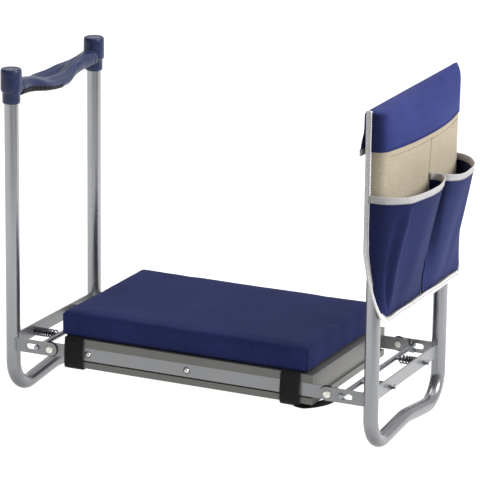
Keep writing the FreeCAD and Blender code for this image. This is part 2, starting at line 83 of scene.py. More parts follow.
# Driving sizes read from the frame
TUBE_LOW, TUBE_HIGH = node_box("right_leg_tube")
TUBE_RADIUS = (TUBE_HIGH.x - TUBE_LOW.x) / 2
UPRIGHT_X = (TUBE_HIGH.x + TUBE_LOW.x) / 2 - SEAT_X
UPRIGHT_Y = TUBE_HIGH.y - TUBE_RADIUS
HANDLE_HIGH = node_box("right_handle")[1]
CAP_TOP = HANDLE_HIGH.z
CAP_RADIUS = HANDLE_HIGH.y - UPRIGHT_Y
PAD_LOW, PAD_HIGH = node_box("pad_cover")
TRAY_BOTTOM = RAIL_LOW.z
TRAY_TOP = RAIL_HIGH.z
PANEL_LOW, PANEL_HIGH = node_box("bag_edge_binding")
BAG_HALF = PANEL_HIGH.y
BAG_FOOT = PANEL_LOW.z
ROD_LOW, ROD_HIGH = node_box("right_lock_rod")
PIVOT_Z = (ROD_LOW.z + ROD_HIGH.z) / 2
BRACKET_LOW, BRACKET_HIGH = node_box("right_bracket_back")
SIDES = {"left": -1, "right": 1}
ENDS = {"front": -1, "back": 1}


# ------------------------------------------------------------------ materials

class Tree:
    """A node tree, with short helpers for the few node kinds used here."""

    def __init__(self, tree):
        self.tree = tree
        self.coordinates = self.new("TexCoord").outputs
        self.place = self.coordinates["Object"]

    def new(self, kind, **inputs):
        node = self.tree.nodes.new("ShaderNode" + kind)
        for key, value in inputs.items():
            self.give(node.inputs[key.replace("_", " ")], value)
        return node

    def give(self, socket, value):
        """Links an output to a socket, or sets the socket to a number, vector or colour."""
        if isinstance(value, bpy.types.NodeSocket):
            self.tree.links.new(value, socket)
        elif socket.type == "RGBA":
            socket.default_value = (*value, 1)
        else:
            socket.default_value = value

    def math(self, operation, *values):
        node = self.new("Math")
        node.operation = operation
        for socket, value in zip(node.inputs, values):
            self.give(socket, value)
        return node.outputs[0]

    def noise(self, scale, detail=3.0, rough=0.55, vector=None):
        node = self.new("TexNoise", Scale=scale, Detail=detail, Roughness=rough, Vector=vector or self.place)
        return node.outputs["Fac"]

    def stretched(self, x, y, z):
        return self.new("Mapping", Scale=(x, y, z), Vector=self.place).outputs["Vector"]

    def ramp(self, fac, stops):
        """A run of colours. A stop is a position and a colour, or a position and a grey."""
        node = self.new("ValToRGB", Fac=fac)
        elements = node.color_ramp.elements
        while len(elements) < len(stops):
            elements.new(0.5)
        for element, (position, colour) in zip(elements, stops):
            element.position = position
            element.color = (*colour, 1) if isinstance(colour, tuple) else (colour, colour, colour, 1)
        return node.outputs["Color"]

    def mix(self, fac, a, b, blend="MIX"):
        node = self.new("Mix")
        node.data_type = "RGBA"
        node.blend_type = blend
        for index, value in ((0, fac), (6, a), (7, b)):
            self.give(node.inputs[index], value)
        return node.outputs[2]

    def times(self, product, *others):
        for other in others:
            product = self.mix(1.0, product, other, "MULTIPLY")
        return product

    def parts(self, vector):
        return self.new("SeparateXYZ", Vector=vector).outputs

    def normal(self):
        return self.new("NewGeometry").outputs["Normal"]

    def facing(self, axis):
        """From 0 where the surface faces down the axis to 1 where it faces up it."""
        return self.math("MULTIPLY", self.math("ADD", self.parts(self.normal())[axis], 1.0), 0.5)

    def weave(self, pitch):
        """The height of a plain weave with threads pitch apart, on whichever plane the face looks along."""
        place = self.parts(self.place)
        turn = math.pi / (pitch * MM)
        waves = [self.math("SINE", self.math("MULTIPLY", place[axis], turn)) for axis in range(3)]
        transform = self.new("VectorTransform", Vector=self.normal())
        transform.vector_type = "NORMAL"
        transform.convert_from = "WORLD"
        transform.convert_to = "OBJECT"
        face = self.parts(transform.outputs["Vector"])
        shares = []
        for axis, (first, second) in enumerate(((1, 2), (0, 2), (0, 1))):
            crossing = self.math("MULTIPLY", waves[first], waves[second])
            shares.append(self.math("MULTIPLY", crossing, self.math("ABSOLUTE", face[axis])))
        return self.math("ADD", self.math("ADD", shares[0], shares[1]), shares[2])


class Look(Tree):
    """A material, its node tree and its shader."""

    def __init__(self, name):
        self.material = bpy.data.materials.new(name)
        self.material.use_nodes = True
        super().__init__(self.material.node_tree)
        self.shader = self.tree.nodes["Principled BSDF"]

    def set(self, **inputs):
        for key, value in inputs.items():
            self.give(self.shader.inputs[key.replace("_", " ")], value)

    def roughness(self, fac, low, high):
        self.set(Roughness=self.new("MapRange", Value=fac, To_Min=low, To_Max=high).outputs["Result"])

    def bump(self, height, strength, distance):
        node = self.new("Bump", Strength=strength, Distance=distance, Height=height)
        previous = self.shader.inputs["Normal"].links
        if previous:
            self.give(node.inputs["Normal"], previous[0].from_socket)
        self.set(Normal=node.outputs["Normal"])


def paint(name, light, dark, metallic, rough, foot=1.0):
    """Sprayed silver paint on steel: fine flake, faint clouding, slight orange peel, painted shade on faces
    that look down.
    Towards the floor it is darker by the factor foot: painted shade as well."""
    n = Look(name)
    n.set(Metallic=metallic, Coat_Weight=0.2, Coat_Roughness=0.2)
    base = n.ramp(n.noise(9.0, 2.0), [(0.3, dark), (0.7, light)])
    flake = n.ramp(n.noise(1400.0, 1.0), [(0.35, 0.92), (0.65, 1.0)])
    # Painted shade: faces that look down are darkened.
    painted_underside_shade = n.ramp(n.facing("Z"), [(0.1, 0.45), (0.44, 1.0)])
    # Painted shade towards the floor: low down the colour darkens by the factor foot.
    height = n.math("MULTIPLY", n.parts(n.place)["Z"], 2.0)
    n.set(Base_Color=n.times(base, flake, painted_underside_shade, n.ramp(height, [(0.12, foot), (0.5, 1.0)])))
    n.roughness(n.noise(40.0, 3.0), rough - 0.03, rough + 0.04)
    n.bump(n.noise(900.0, 2.0), 0.02, 0.0002)
    n.bump(n.noise(230.0, 3.0), 0.010, 0.0004)
    return n.material


def bare_metal(name, colour, rough, grain=(1.0, 1.0, 1.0)):
    """Plated or bare steel with fine drawn lines and dulled patches."""
    n = Look(name)
    dull = tuple(c * 0.72 for c in colour)
    n.set(Metallic=1.0, Base_Color=n.ramp(n.noise(120.0, 4.0), [(0.35, dull), (0.65, colour)]))
    n.roughness(n.noise(320.0, 4.0, vector=n.stretched(*grain)), rough - 0.06, rough + 0.12)
    n.bump(n.noise(900.0, 3.0, vector=n.stretched(*grain)), 0.12, 0.0002)
    return n.material


def plastic(name, colour, tint, rough, grain=1500.0):
    """Moulded plastic with a fine spark grain, a little lighter on its sharp outer edges."""
    n = Look(name)
    edges = n.ramp(n.new("NewGeometry").outputs["Pointiness"], [(0.5, 0.0), (0.62, 0.5)])
    clouds = n.ramp(n.noise(45.0, 4.0), [(0.35, colour), (0.7, tint)])
    n.set(Specular_IOR_Level=0.28, Base_Color=n.mix(edges, clouds, tint))
    n.roughness(n.noise(90.0, 4.0), rough - 0.06, rough + 0.1)
    n.bump(n.noise(grain, 2.0), 0.12, 0.00015)
    return n.material


def cloth(name, colour, light, pitch, rough=0.86, sheen=0.12, sheen_tint=(0.45, 0.5, 0.95), front=1.0):
    """Woven polyester: threads, painted shade between them, slubs both ways, soft broad shading; painted
    shade towards -Y by front.
    """
    n = Look(name)
    n.set(Sheen_Weight=sheen, Sheen_Roughness=0.45, Sheen_Tint=sheen_tint, Specular_IOR_Level=0.12)
    threads = n.weave(pitch)
    slub_a = n.noise(210.0, 3.0, 0.65, n.stretched(1.0, 6.0, 1.0))
    slub_b = n.noise(210.0, 3.0, 0.65, n.stretched(6.0, 1.0, 6.0))
    slubs = n.mix(0.5, slub_a, slub_b)
    base = n.ramp(n.mix(0.35, slubs, n.noise(11.0, 3.0)), [(0.38, colour), (0.62, light)])
    # Painted shade in the hollows between the threads.
    shade = n.ramp(threads, [(0.0, 0.84), (1.0, 1.0)])
    speckle = n.ramp(n.noise(620.0, 2.0, 0.7), [(0.36, 0.70), (0.64, 1.0)])
    # Painted shade on faces that look towards -Y, darker by the factor front.
    tone = n.ramp(n.facing("Y"), [(0.04, front), (0.30, 1.0)])
    n.set(Base_Color=n.times(base, shade, speckle, tone))
    n.roughness(slubs, rough - 0.06, rough + 0.1)
    n.bump(threads, 0.35, 0.00025)
    n.bump(slubs, 0.3, 0.0004)
    return n.material


# The legs' last number, 0.70, is painted shade towards the floor; every paint here gets painted shade on
# faces that look down.
LEG_PAINT = paint("leg_paint_look", (0.365, 0.371, 0.388), (0.342, 0.348, 0.364), 0.90, 0.26, 0.70)
BAR_PAINT = paint("bar_paint_look", (0.245, 0.25, 0.258), (0.23, 0.235, 0.24), 0.45, 0.34)
TRAY_PAINT = paint("tray_paint_look", (0.128, 0.125, 0.116), (0.118, 0.115, 0.107), 0.30, 0.42)
LOCK_STEEL = bare_metal("lock_look", (0.30, 0.31, 0.34), 0.26)
WELD = paint("weld_look", (0.27, 0.275, 0.28), (0.20, 0.205, 0.21), 0.6, 0.36)
NICKEL = bare_metal("rivet_look", (0.80, 0.78, 0.71), 0.34)
CHROME = bare_metal("screw_look", (0.80, 0.81, 0.82), 0.14)
SPRING_STEEL = bare_metal("spring_look", (0.075, 0.075, 0.09), 0.32, (4.0, 1.0, 1.0))
NYLON = plastic("washer_look", (0.012, 0.012, 0.012), (0.02, 0.02, 0.02), 0.5)
NAVY_PLASTIC = plastic("handle_look", (0.015, 0.022, 0.062), (0.021, 0.029, 0.080), 0.27)
# Black for the painted shade on the grip's ribs underneath.
RIB_SHADE_BLACK = plastic("grip_rib_shade_look", (0.003, 0.003, 0.004), (0.006, 0.006, 0.008), 0.6)
PAD_CLOTH = cloth("pad_cloth_look", (0.0135, 0.020, 0.088), (0.0235, 0.033, 0.138), 0.8)
# front= on the bag cloths, and the cream's last number, 0.82, set painted shade on faces towards -Y.
BAG_NAVY = cloth("bag_navy_look", (0.020, 0.028, 0.125), (0.038, 0.050, 0.21), 0.8, front=0.5)
# The two pocket navies are darker copies of the bag's navy cloth: painted shade on the pockets.
FRONT_POCKET_SHADED_NAVY = cloth("front_pocket_shaded_navy_look", (0.011, 0.0155, 0.066), (0.019, 0.026, 0.110), 0.8, front=0.85)
REAR_POCKET_SHADED_NAVY = cloth("rear_pocket_shaded_navy_look", (0.015, 0.022, 0.082), (0.029, 0.039, 0.140), 0.8, front=0.55)
BAG_CREAM = cloth("bag_cream_look", (0.43, 0.372, 0.275), (0.51, 0.445, 0.335), 0.9, 0.85, 0.1,
                  (1, 0.95, 0.85), 0.82)
WEBBING = cloth("webbing_look", (0.009, 0.009, 0.0095), (0.020, 0.020, 0.021), 1.6, 0.8,
                sheen_tint=(0.5, 0.5, 0.5))
TAPE = cloth("tape_look", (0.47, 0.455, 0.46), (0.60, 0.585, 0.59), 1.1, 0.8, 0.12, (1, 1, 1))
EDGE_TAPE = cloth("edge_tape_look", (0.80, 0.78, 0.78), (0.90, 0.885, 0.88), 1.1, 0.7, 0.15, (1, 1, 1))
THREAD_NAVY = cloth("navy_thread_look", (0.008, 0.009, 0.04), (0.012, 0.014, 0.06), 0.4)
THREAD_CREAM = cloth("cream_thread_look", (0.34, 0.29, 0.22), (0.44, 0.38, 0.29), 0.4)
THREAD_GREY = cloth("grey_thread_look", (0.30, 0.30, 0.32), (0.40, 0.40, 0.42), 0.4)
FOAM = plastic("foam_look", (0.10, 0.10, 0.11), (0.14, 0.14, 0.15), 0.9, 400.0)

CAD_LOOKS = {
    "leg_paint": LEG_PAINT, "bar_paint": BAR_PAINT, "tray_paint": TRAY_PAINT, "lock_steel": LOCK_STEEL,
    "rivet_nickel": NICKEL, "screw_chrome": CHROME, "spring_steel": SPRING_STEEL, "washer_plastic": NYLON,
    "handle_plastic": NAVY_PLASTIC, "pad_foam": FOAM, "pad_cloth": PAD_CLOTH, "strap_webbing": WEBBING,
    "bag_cream_cloth": BAG_CREAM, "bag_tape": TAPE, "bag_navy_cloth": BAG_NAVY,
}


def dress_cad_nodes():
    slots = {entry["node"]: entry["material_slot"] for entry in frame["record"]["subparts"]}
    for name, node in frame["nodes"].items():
        look = CAD_LOOKS[slots[name]]
        if node.material_slots:
            for slot in node.material_slots:
                slot.material = look
        else:
            node.data.materials.append(look)


# ------------------------------------------------------------------ mesh helpers

def add_object(name, data):
    made = bpy.data.objects.new(name, data)
    bpy.context.scene.collection.objects.link(made)
    return made


def piece(name, points, faces, material, body):
    """A smooth mesh object from points in seat millimetres, on its body and in its material slot."""
    mesh = bpy.data.meshes.new(name)
    mesh.from_pydata([at(*p) for p in points], [], faces)
    mesh.validate()
    mesh.update()
    shade(mesh)
    made = add_object(name, mesh)
    mesh.materials.append(material)
    mend_normals(made)
    if body:
        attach(made, body)
    return made


def shade(mesh):
    for polygon in mesh.polygons:
        polygon.use_smooth = True


def mend_normals(made):
    edit = bmesh.new()
    edit.from_mesh(made.data)
    bmesh.ops.recalc_face_normals(edit, faces=edit.faces)
    edit.to_mesh(made.data)
    edit.free()


def grid_faces(rows, columns, wrap_rows=False, wrap_columns=False, first=0):
    faces = []
    for r in range(rows if wrap_rows else rows - 1):
        for c in range(columns if wrap_columns else columns - 1):
            r2 = (r + 1) % rows
            c2 = (c + 1) % columns
            faces.append((
                first + r * columns + c,
                first + r * columns + c2,
                first + r2 * columns + c2,
                first + r2 * columns + c,
            ))
    return faces


def join(points, faces, more):
    """Adds one part's points and faces to those of a group."""
    base = len(points)
    points += more[0]
    faces += [tuple(base + index for index in face) for face in more[1]]


def circle(count):
    """The cosine and sine of evenly spaced angles."""
    return [(math.cos(math.tau * k / count), math.sin(math.tau * k / count)) for k in range(count)]


TURNS = 48


def turned(profile, x, z):
    """Rings round an axis along Y, for a profile of radius and y."""
    return [(x + radius * c, y, z + radius * s) for radius, y in profile for c, s in circle(TURNS)]


def add_modifier(made, kind, **settings):
    modifier = made.modifiers.new(kind.lower(), kind)
    for key, value in settings.items():
        setattr(modifier, key, value)
    return modifier


def apply_modifiers(made):
    graph = bpy.context.evaluated_depsgraph_get()
    final = bpy.data.meshes.new_from_object(made.evaluated_get(graph))
    made.modifiers.clear()
    made.data = final


def sheet_piece(name, rows, material, body, thickness=1.2):
    """A sheet of cloth from a grid of points, given thickness and one round of smoothing."""
    points = [p for row in rows for p in row]
    made = piece(name, points, grid_faces(len(rows), len(rows[0])), material, body)
    add_modifier(made, "SOLIDIFY", thickness=thickness * MM, offset=0.0, use_even_offset=True)
    add_modifier(made, "SUBSURF", levels=1, render_levels=1)
    return made


def end_faces(count, sides):
    """The first and last rings of a tube of count points, as two faces."""
    return [tuple(range(sides)), tuple(range(count - sides, count))]


def swept(name, path, section, material, body, closed=False):
    """A bar along a path, open ends capped. section(i) gives the i-th ring of points."""
    rings = [section(i) for i in range(len(path))]
    sides = len(rings[0])
    points = [p for ring in rings for p in ring]
    faces = grid_faces(len(rings), sides, wrap_rows=closed, wrap_columns=True)
    if not closed:
        faces += end_faces(len(points), sides)
    return piece(name, points, faces, material, body)


def directions(path, closed=False):
    """The unit direction of a path at each of its points."""
    result = []
    last = len(path) - 1
    for i in range(len(path)):
        before = path[(i - 1) % len(path)] if closed else path[max(i - 1, 0)]
        after = path[(i + 1) % len(path)] if closed else path[min(i + 1, last)]
        result.append((Vector(after) - Vector(before)).normalized())
    return result


def round_bar(name, path, radius, material, body, sides=10, up=(0, 0, 1)):
    """A round wire or bead along a path, of one radius or one radius for each point."""
    along = directions(path)

    def ring(i):
        side = along[i].cross(Vector(up))
        if side.length < 0.05:
            side = along[i].cross(Vector((0, 1, 0)))
        side.normalize()
        lift = side.cross(along[i]).normalized()
        size = radius[i] if isinstance(radius, list) else radius
        return [Vector(path[i]) + side * c * size + lift * s * size for c, s in circle(sides)]

    return swept(name, path, ring, material, body)


def distances(path):
    """How far along a path each of its points is."""
    lengths = [0.0]
    for first, second in zip(path, path[1:]):
        lengths.append(lengths[-1] + (Vector(second) - Vector(first)).length)
    return lengths


def find_step(lengths, goal, k):
    """The step that holds the distance goal, looking on from step k, and the share of it that is passed."""
    while k < len(lengths) - 2 and lengths[k + 1] < goal:
        k += 1
    return k, (goal - lengths[k]) / max(lengths[k + 1] - lengths[k], 1e-9)


def smooth_path(points, count, closed=False):
    """Points evenly spaced along a Catmull-Rom curve through a few control points."""
    knots = [Vector(p) for p in points]
    total = len(knots)
    spans = total if closed else total - 1
    fine = []
    for i in range(spans):
        if closed:
            a, b, c, d = (knots[(i + k) % total] for k in (-1, 0, 1, 2))
        else:
            a, b, c, d = (knots[min(max(i + k, 0), total - 1)] for k in (-1, 0, 1, 2))
        for step in range(24):
            t = step / 24
            fine.append(0.5 * (
                2 * b + (c - a) * t + (2 * a - 5 * b + 4 * c - d) * t * t + (3 * b - a - 3 * c + d) * t ** 3
            ))
    fine.append(knots[0] if closed else knots[-1])
    lengths = distances(fine)
    steps = count if closed else count - 1
    result = []
    k = 0
    for i in range(count):
        k, part = find_step(lengths, lengths[-1] * i / steps, k)
        result.append(fine[k].lerp(fine[k + 1], part))
    return result


TAPE_SECTION = [(0.0, 0.5), (-0.12, 0.35), (-0.16, 0.0), (-0.12, -0.35), (0.0, -0.5), (0.5, -0.56)]
TAPE_SECTION += [(0.93, -0.5), (1.0, -0.38), (1.0, 0.38), (0.93, 0.52)]
TAPE_SECTION += [(0.62, 0.58), (0.38, 0.40), (0.2, 0.56)]


def edge_tape(name, path, inward, normal, widths, thick, material):
    """Folded tape round a sheet's edge. Each point of the path has a direction inward and one outward."""

    def ring(i):
        into = Vector(inward[i]).normalized()
        out = Vector(normal[i]).normalized()
        points = []
        for a, b in TAPE_SECTION:
            reach = a * widths[i] if a > 0 else a * thick * 3
            points.append(Vector(path[i]) + into * reach + out * b * thick)
        return points

    return swept(name, path, ring, material, "right_leg")


STITCH_LENGTH = 2.6
STITCH_GAP = 1.6
STITCH_WIDTH = 0.55


def stitches(name, path, normal, material):
    """A row of sewn stitches along a path: short rounded dashes that stand a little proud."""
    points = []
    faces = []
    lengths = distances(path)
    goal = STITCH_GAP
    k = 0
    while goal + STITCH_LENGTH < lengths[-1]:
        ends = []
        for target in (goal, goal + STITCH_LENGTH):
            k, part = find_step(lengths, target, k)
            ends.append(Vector(path[k]).lerp(Vector(path[k + 1]), part))
        out = Vector(normal[k]).normalized()
        along = (ends[1] - ends[0]).normalized()
        side = along.cross(out).normalized() * STITCH_WIDTH
        base = len(points)
        for share, lift in ((0.0, 0.1), (0.3, 0.75), (0.7, 0.75), (1.0, 0.1)):
            centre = ends[0].lerp(ends[1], share) + out * lift * STITCH_WIDTH
            for across, drop in ((-1.0, -0.7), (0.0, 0.35), (1.0, -0.7)):
                points.append(centre + side * across + out * drop * STITCH_WIDTH)
        faces += grid_faces(4, 3, first=base, wrap_columns=True)
        faces += [(base, base + 1, base + 2), (base + 9, base + 10, base + 11)]
        goal += STITCH_LENGTH + STITCH_GAP
    return piece(name, points, faces, material, "right_leg")


def smoothstep(value):
    value = min(max(value, 0.0), 1.0)
    return value * value * (3 - 2 * value)


# ------------------------------------------------------------------ hand grips

GRIP_REACH = UPRIGHT_Y - 9.0
GRIP_END_Z = CAP_TOP - 31.0
GRIP_SAG = 8.5
CAP_RADIUS_SHOWN = CAP_RADIUS + 0.9
PALM_TOP = [(-1.0, 5.0), (-0.86, 9.6), (-0.68, 6.0), (-0.42, -1.0), (-0.15, -1.5), (0.08, 3.6), (0.22, 6.4)]
PALM_TOP += [(0.38, 5.6), (0.7, 0.5), (0.93, -3.5), (1.0, -5.6)]
PALM_FOOT = [(-1.0, 5.0), (-0.9, -1.0), (-0.5, -8.0), (0.0, -12.5), (0.5, -13.5), (0.86, -10.5), (1.0, -5.6)]


def along_table(table, value):
    for (a, first), (b, second) in zip(table, table[1:]):
        if value <= b:
            return first + (second - first) * smoothstep((value - a) / (b - a))
    return table[-1][1]


def leaf(y, middle, half):
    """1 along the broad palm rest in the middle of the grip, 0 along its arms."""
    return smoothstep((half - abs(y - middle)) / 58.0)


def grip_centre_z(y):
    return GRIP_END_Z - GRIP_SAG * math.cos(math.pi / 2 * y / GRIP_REACH) ** 2


def squared(value):
    """A cosine or sine for a section between a circle and a square."""
    return math.copysign(abs(value) ** 0.75, value)


GRIP_SIDES = 64


def grip_ring(side, y):
    """One section of the grip. In the middle it is broad and tilted, with a hollow behind a raised crest."""
    broad = leaf(y, 0.0, 84.0)
    flare = smoothstep((abs(y) - 80.0) / 34.0)
    near_width = 10.8 + 12.6 * leaf(y, -19.0, 80.0) + 2.4 * flare
    far_width = 10.8 + 8.0 * leaf(y, 8.0, 80.0) + 2.4 * flare
    half_height = 11.3 + 0.6 * flare
    centre_z = grip_centre_z(y)
    ring = []
    for c, s in circle(GRIP_SIDES):
        across = squared(c)
        arm = squared(s) * half_height
        x = across * (near_width if across > 0 else far_width)
        if s > 0:
            palm = along_table(PALM_TOP, across)
            rib = math.cos(math.tau * (y + 12.0 * across) / 4.6)
            palm += 0.45 * rib * math.exp(-((across + 0.74) / 0.14) ** 2)
        else:
            palm = along_table(PALM_FOOT, across)
            web = 0.5 + 0.5 * math.cos(math.tau * (y + 6.0 * across) / 9.0)
            palm += 7.5 * smoothstep((0.84 - abs(across)) / 0.15) * (1.0 - web ** 6)
        ring.append((side * UPRIGHT_X - side * x, y, centre_z + arm + (palm - arm) * broad))
    return ring


def cap_profile():
    """Radius and height of the socket and its collar, from the mouth up to the closed top."""
    step = CAP_TOP - 35.0
    foot = CAP_TOP - 52.5
    wide = CAP_RADIUS_SHOWN
    outline = [(TUBE_RADIUS + 0.1, foot + 2.0), (TUBE_RADIUS + 0.3, foot + 0.2), (12.4, foot - 0.4)]
    outline += [(13.2, foot + 0.3), (13.6, foot + 1.6), (13.6, foot + 7.0)]
    outline += [(13.7, step - 1.4), (14.0, step - 0.3), (15.2, step + 0.5)]
    outline += [(15.9, step + 1.6), (wide, step + 3.4), (wide, step + 14.0)]
    outline += [(wide - 0.1, CAP_TOP - 8.0)]
    outline += [(wide - 0.3, CAP_TOP - 3.0), (wide - 0.9, CAP_TOP - 1.2), (wide - 1.9, CAP_TOP - 0.3)]
    outline += [(wide - 3.0, CAP_TOP), (wide - 3.8, CAP_TOP - 0.2), (wide - 4.2, CAP_TOP - 0.9)]
    outline += [(wide - 4.8, CAP_TOP - 1.1), (6.0, CAP_TOP - 0.8), (0.6, CAP_TOP - 0.7)]
    return outline


def grip_cap(side, end):
    outline = cap_profile()
    turns = 56
    x = side * UPRIGHT_X
    y = end * UPRIGHT_Y
    points = [(x + radius * c, y + radius * s, z) for radius, z in outline for c, s in circle(turns)]
    faces = grid_faces(len(outline), turns, wrap_columns=True)
    faces.append(tuple(range(len(points) - turns, len(points))))
    return points, faces


def grip_collar(side, end):
    """The raised band where an arm of the grip runs into its socket."""
    points = []
    sides = 40
    for reach, grow in ((16.6, -0.6), (17.0, 0.5), (18.2, 0.6), (18.8, -0.4)):
        y = end * (UPRIGHT_Y - reach)
        for c, s in circle(sides):
            across = squared(c) * (13.1 + grow)
            height = squared(s) * (11.9 + grow)
            points.append((side * (UPRIGHT_X - across), y, grip_centre_z(y) + height))
    return points, grid_faces(4, sides, wrap_columns=True)


def build_handle(label):
    """Two sockets and the grip between them, as one shown piece."""
    side = SIDES[label]
    stations = 150
    points = []
    for i in range(stations):
        points += grip_ring(side, GRIP_REACH * (2 * i / (stations - 1) - 1))
    faces = grid_faces(stations, GRIP_SIDES, wrap_columns=True) + end_faces(len(points), GRIP_SIDES)
    for end in ENDS.values():
        join(points, faces, grip_cap(side, end))
        join(points, faces, grip_collar(side, end))
    made = piece(label + "_hand_grip", points, faces, NAVY_PLASTIC, label + "_leg")
    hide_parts(label + "_handle")


RIB_PITCH = 9.0
RIB_LENGTH = 7.9
RIB_STEPS = 7
RIB_COLUMNS = range(44, GRIP_SIDES)


def build_rib_shade(label):
    """Painted shade under the near half of the grip: a black plate on each rib, standing for the ribs in
    shadow.
    """
    side = SIDES[label]
    points = []
    faces = []
    for number in range(12):
        middle = -112.0 + RIB_PITCH * number
        base = len(points)
        for step in range(RIB_STEPS):
            y = middle + RIB_LENGTH * (step / (RIB_STEPS - 1) - 0.5)
            ring = grip_ring(side, y)
            points += [(ring[k][0] - side * 0.6, y, ring[k][2] - 0.6) for k in RIB_COLUMNS]
        faces += grid_faces(RIB_STEPS, len(RIB_COLUMNS), first=base)
    made = piece(label + "_grip_rib_shade", points, faces, RIB_SHADE_BLACK, None)
    add_modifier(made, "SOLIDIFY", thickness=1.0 * MM, offset=0.0)
    apply_modifiers(made)
    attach(made, label + "_leg")


# ------------------------------------------------------------------ kneeling pad

def build_pad():
    """The cloth-covered foam block, swollen a little by simulation and then seamed."""
    low = Vector((PAD_LOW.x - SEAT_X, PAD_LOW.y, PAD_LOW.z))
    high = Vector((PAD_HIGH.x - SEAT_X, PAD_HIGH.y, PAD_HIGH.z))
    shrink = 0.6
    edit = bmesh.new()
    bmesh.ops.create_cube(edit, size=1.0)
    size = high - low - Vector((2 * shrink, 2 * shrink, shrink))
    centre = (high + low) / 2 - Vector((0, 0, shrink / 2))
    for vertex in edit.verts:
        place = Vector((vertex.co.x * size.x, vertex.co.y * size.y, vertex.co.z * size.z)) + centre
        vertex.co = at(*place)
    bmesh.ops.bevel(edit, geom=edit.edges[:], offset=3.5 * MM, segments=3, profile=0.6, affect="EDGES")
    mesh = bpy.data.meshes.new("kneeling_pad")
    edit.to_mesh(mesh)
    edit.free()
    made = add_object("kneeling_pad", mesh)
    add_modifier(made, "REMESH", mode="VOXEL", voxel_size=5 * MM, use_smooth_shade=True)
    apply_modifiers(made)
    swell(made, 4.0, 3.0)
    add_modifier(made, "SUBSURF", levels=1, render_levels=1)
    apply_modifiers(made)
    shape_pad(made, low, high)
    made.data.materials.clear()
    made.data.materials.append(PAD_CLOTH)
    shade(made.data)
    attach(made, "seat")
    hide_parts("pad_cover", "pad_foam")
    give_way(made)
    return made, low, high


def give_way(made):
    """Gives a piece of the pad its own copy of its mesh."""
    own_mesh(made)


def swell(made, pressure, cap):
    """Runs a short cloth simulation with air inside, and keeps each point within cap of its start."""
    start = np.array([v.co for v in made.data.vertices], float)
    cloth_modifier = add_modifier(made, "CLOTH")
    settings = cloth_modifier.settings
    settings.use_pressure = True
    settings.uniform_pressure_force = pressure
    settings.tension_stiffness = 25.0
    settings.compression_stiffness = 25.0
    settings.bending_stiffness = 1.5
    settings.quality = 5
    settings.effector_weights.gravity = 0.0
    scene = bpy.context.scene
    for number in range(1, 21):
        scene.frame_set(number)
    graph = bpy.context.evaluated_depsgraph_get()
    swollen = made.evaluated_get(graph).to_mesh()
    end = np.array([v.co for v in swollen.vertices], float)
    made.modifiers.clear()
    scene.frame_set(1)
    move = end - start
    length = np.linalg.norm(move, axis=1, keepdims=True)
    limit = cap * MM
    move *= np.minimum(1.0, limit / np.maximum(length, 1e-9))
    made.data.vertices.foreach_set("co", (start + move).ravel())
    made.data.update()


def shape_pad(made, low, high):
    """Flattens the base on the tray, and draws the cloth in along the corner and base seams."""
    centre = (low + high) / 2
    half = (high - low) / 2
    for vertex in made.data.vertices:
        x = vertex.co.x / MM - SEAT_X - centre.x
        y = vertex.co.y / MM - centre.y
        z = vertex.co.z / MM
        corner = math.hypot(abs(x) - half.x, abs(y) - half.y)
        tuck = 1.6 * math.exp(-(corner / 4.0) ** 2)
        tuck += 1.2 * math.exp(-((z - low.z) / 3.0) ** 2)
        pull_x = smoothstep((abs(x) - half.x + 22) / 22) * math.copysign(1.0, x)
        pull_y = smoothstep((abs(y) - half.y + 22) / 22) * math.copysign(1.0, y)
        x -= tuck * pull_x
        y -= tuck * pull_y
        ripple = math.sin(x * 0.085 + 1.3) * math.sin(z * 0.05) * 0.5 * abs(pull_y)
        ripple += math.sin(y * 0.11) * 0.4 * abs(pull_x)
        x += ripple * pull_x
        y += ripple * pull_y
        z = max(z, low.z + 0.3)
        vertex.co = at(x + centre.x, y + centre.y, z)
    made.data.update()


def pad_seams(pad, low, high):
    """Sewn seams up the four corners of the pad, laid on its surface."""
    surface = [(v.co.x / MM - SEAT_X, v.co.y / MM, v.co.z / MM) for v in pad.data.vertices]
    for label_x, sx in SIDES.items():
        for label_y, sy in ENDS.items():
            path = []
            for i in range(9):
                z = low.z + 3 + (high.z - low.z - 8) * i / 8
                near = [p for p in surface if abs(p[2] - z) < 3.5]
                tip = max(near, key=lambda p: sx * p[0] + sy * p[1])
                path.append((tip[0] - sx * 0.2, tip[1] - sy * 0.2, z))
            name = "pad_corner_seam_%s_%s" % (label_x, label_y)
            path = smooth_path(path, 24)
            give_way(round_bar(name, path, 0.9, THREAD_NAVY, "seat", 6, up=(1, 0, 0)))


# ------------------------------------------------------------------ straps

def strap_path(sag, stand_off):
    """The webbing's loop in the YZ plane, from under the pad round the tray."""
    y = RAIL_LOW.y
    front = [(y + 26, TRAY_TOP + 0.8), (y + 4, TRAY_TOP + 0.9), (y - 1.6, TRAY_TOP - 0.4)]
    front += [(y - 2.6, TRAY_TOP - 5), (y - 3.0 - stand_off * 0.5, PIVOT_Z + 6)]
    front += [(y - 3.0 - stand_off, PIVOT_Z - 6), (y - 2.6 - stand_off, TRAY_BOTTOM + 4)]
    front += [(y - 0.6, TRAY_BOTTOM - 1.6 - sag * 0.25), (y + 12, TRAY_BOTTOM - 2.0 - sag * 0.55)]
    front += [(y + 60, TRAY_BOTTOM - 1.6 - sag)]
    back = [(-a, b) for a, b in reversed(front)]
    loop = front + [(0.0, TRAY_BOTTOM - 1.6 - sag * 1.1)] + back + [(0, TRAY_TOP + 0.8)]
    return smooth_path([(0, a, b) for a, b in loop], 150, closed=True)


STRAP_SECTION = [(-1.0, 0.0), (-0.97, 0.5), (-0.5, 0.55), (0.0, 0.6), (0.5, 0.55), (0.97, 0.5), (1.0, 0.0)]
STRAP_SECTION += [(0.97, -0.5), (0.5, -0.5), (0.0, -0.5), (-0.5, -0.5), (-0.97, -0.5)]


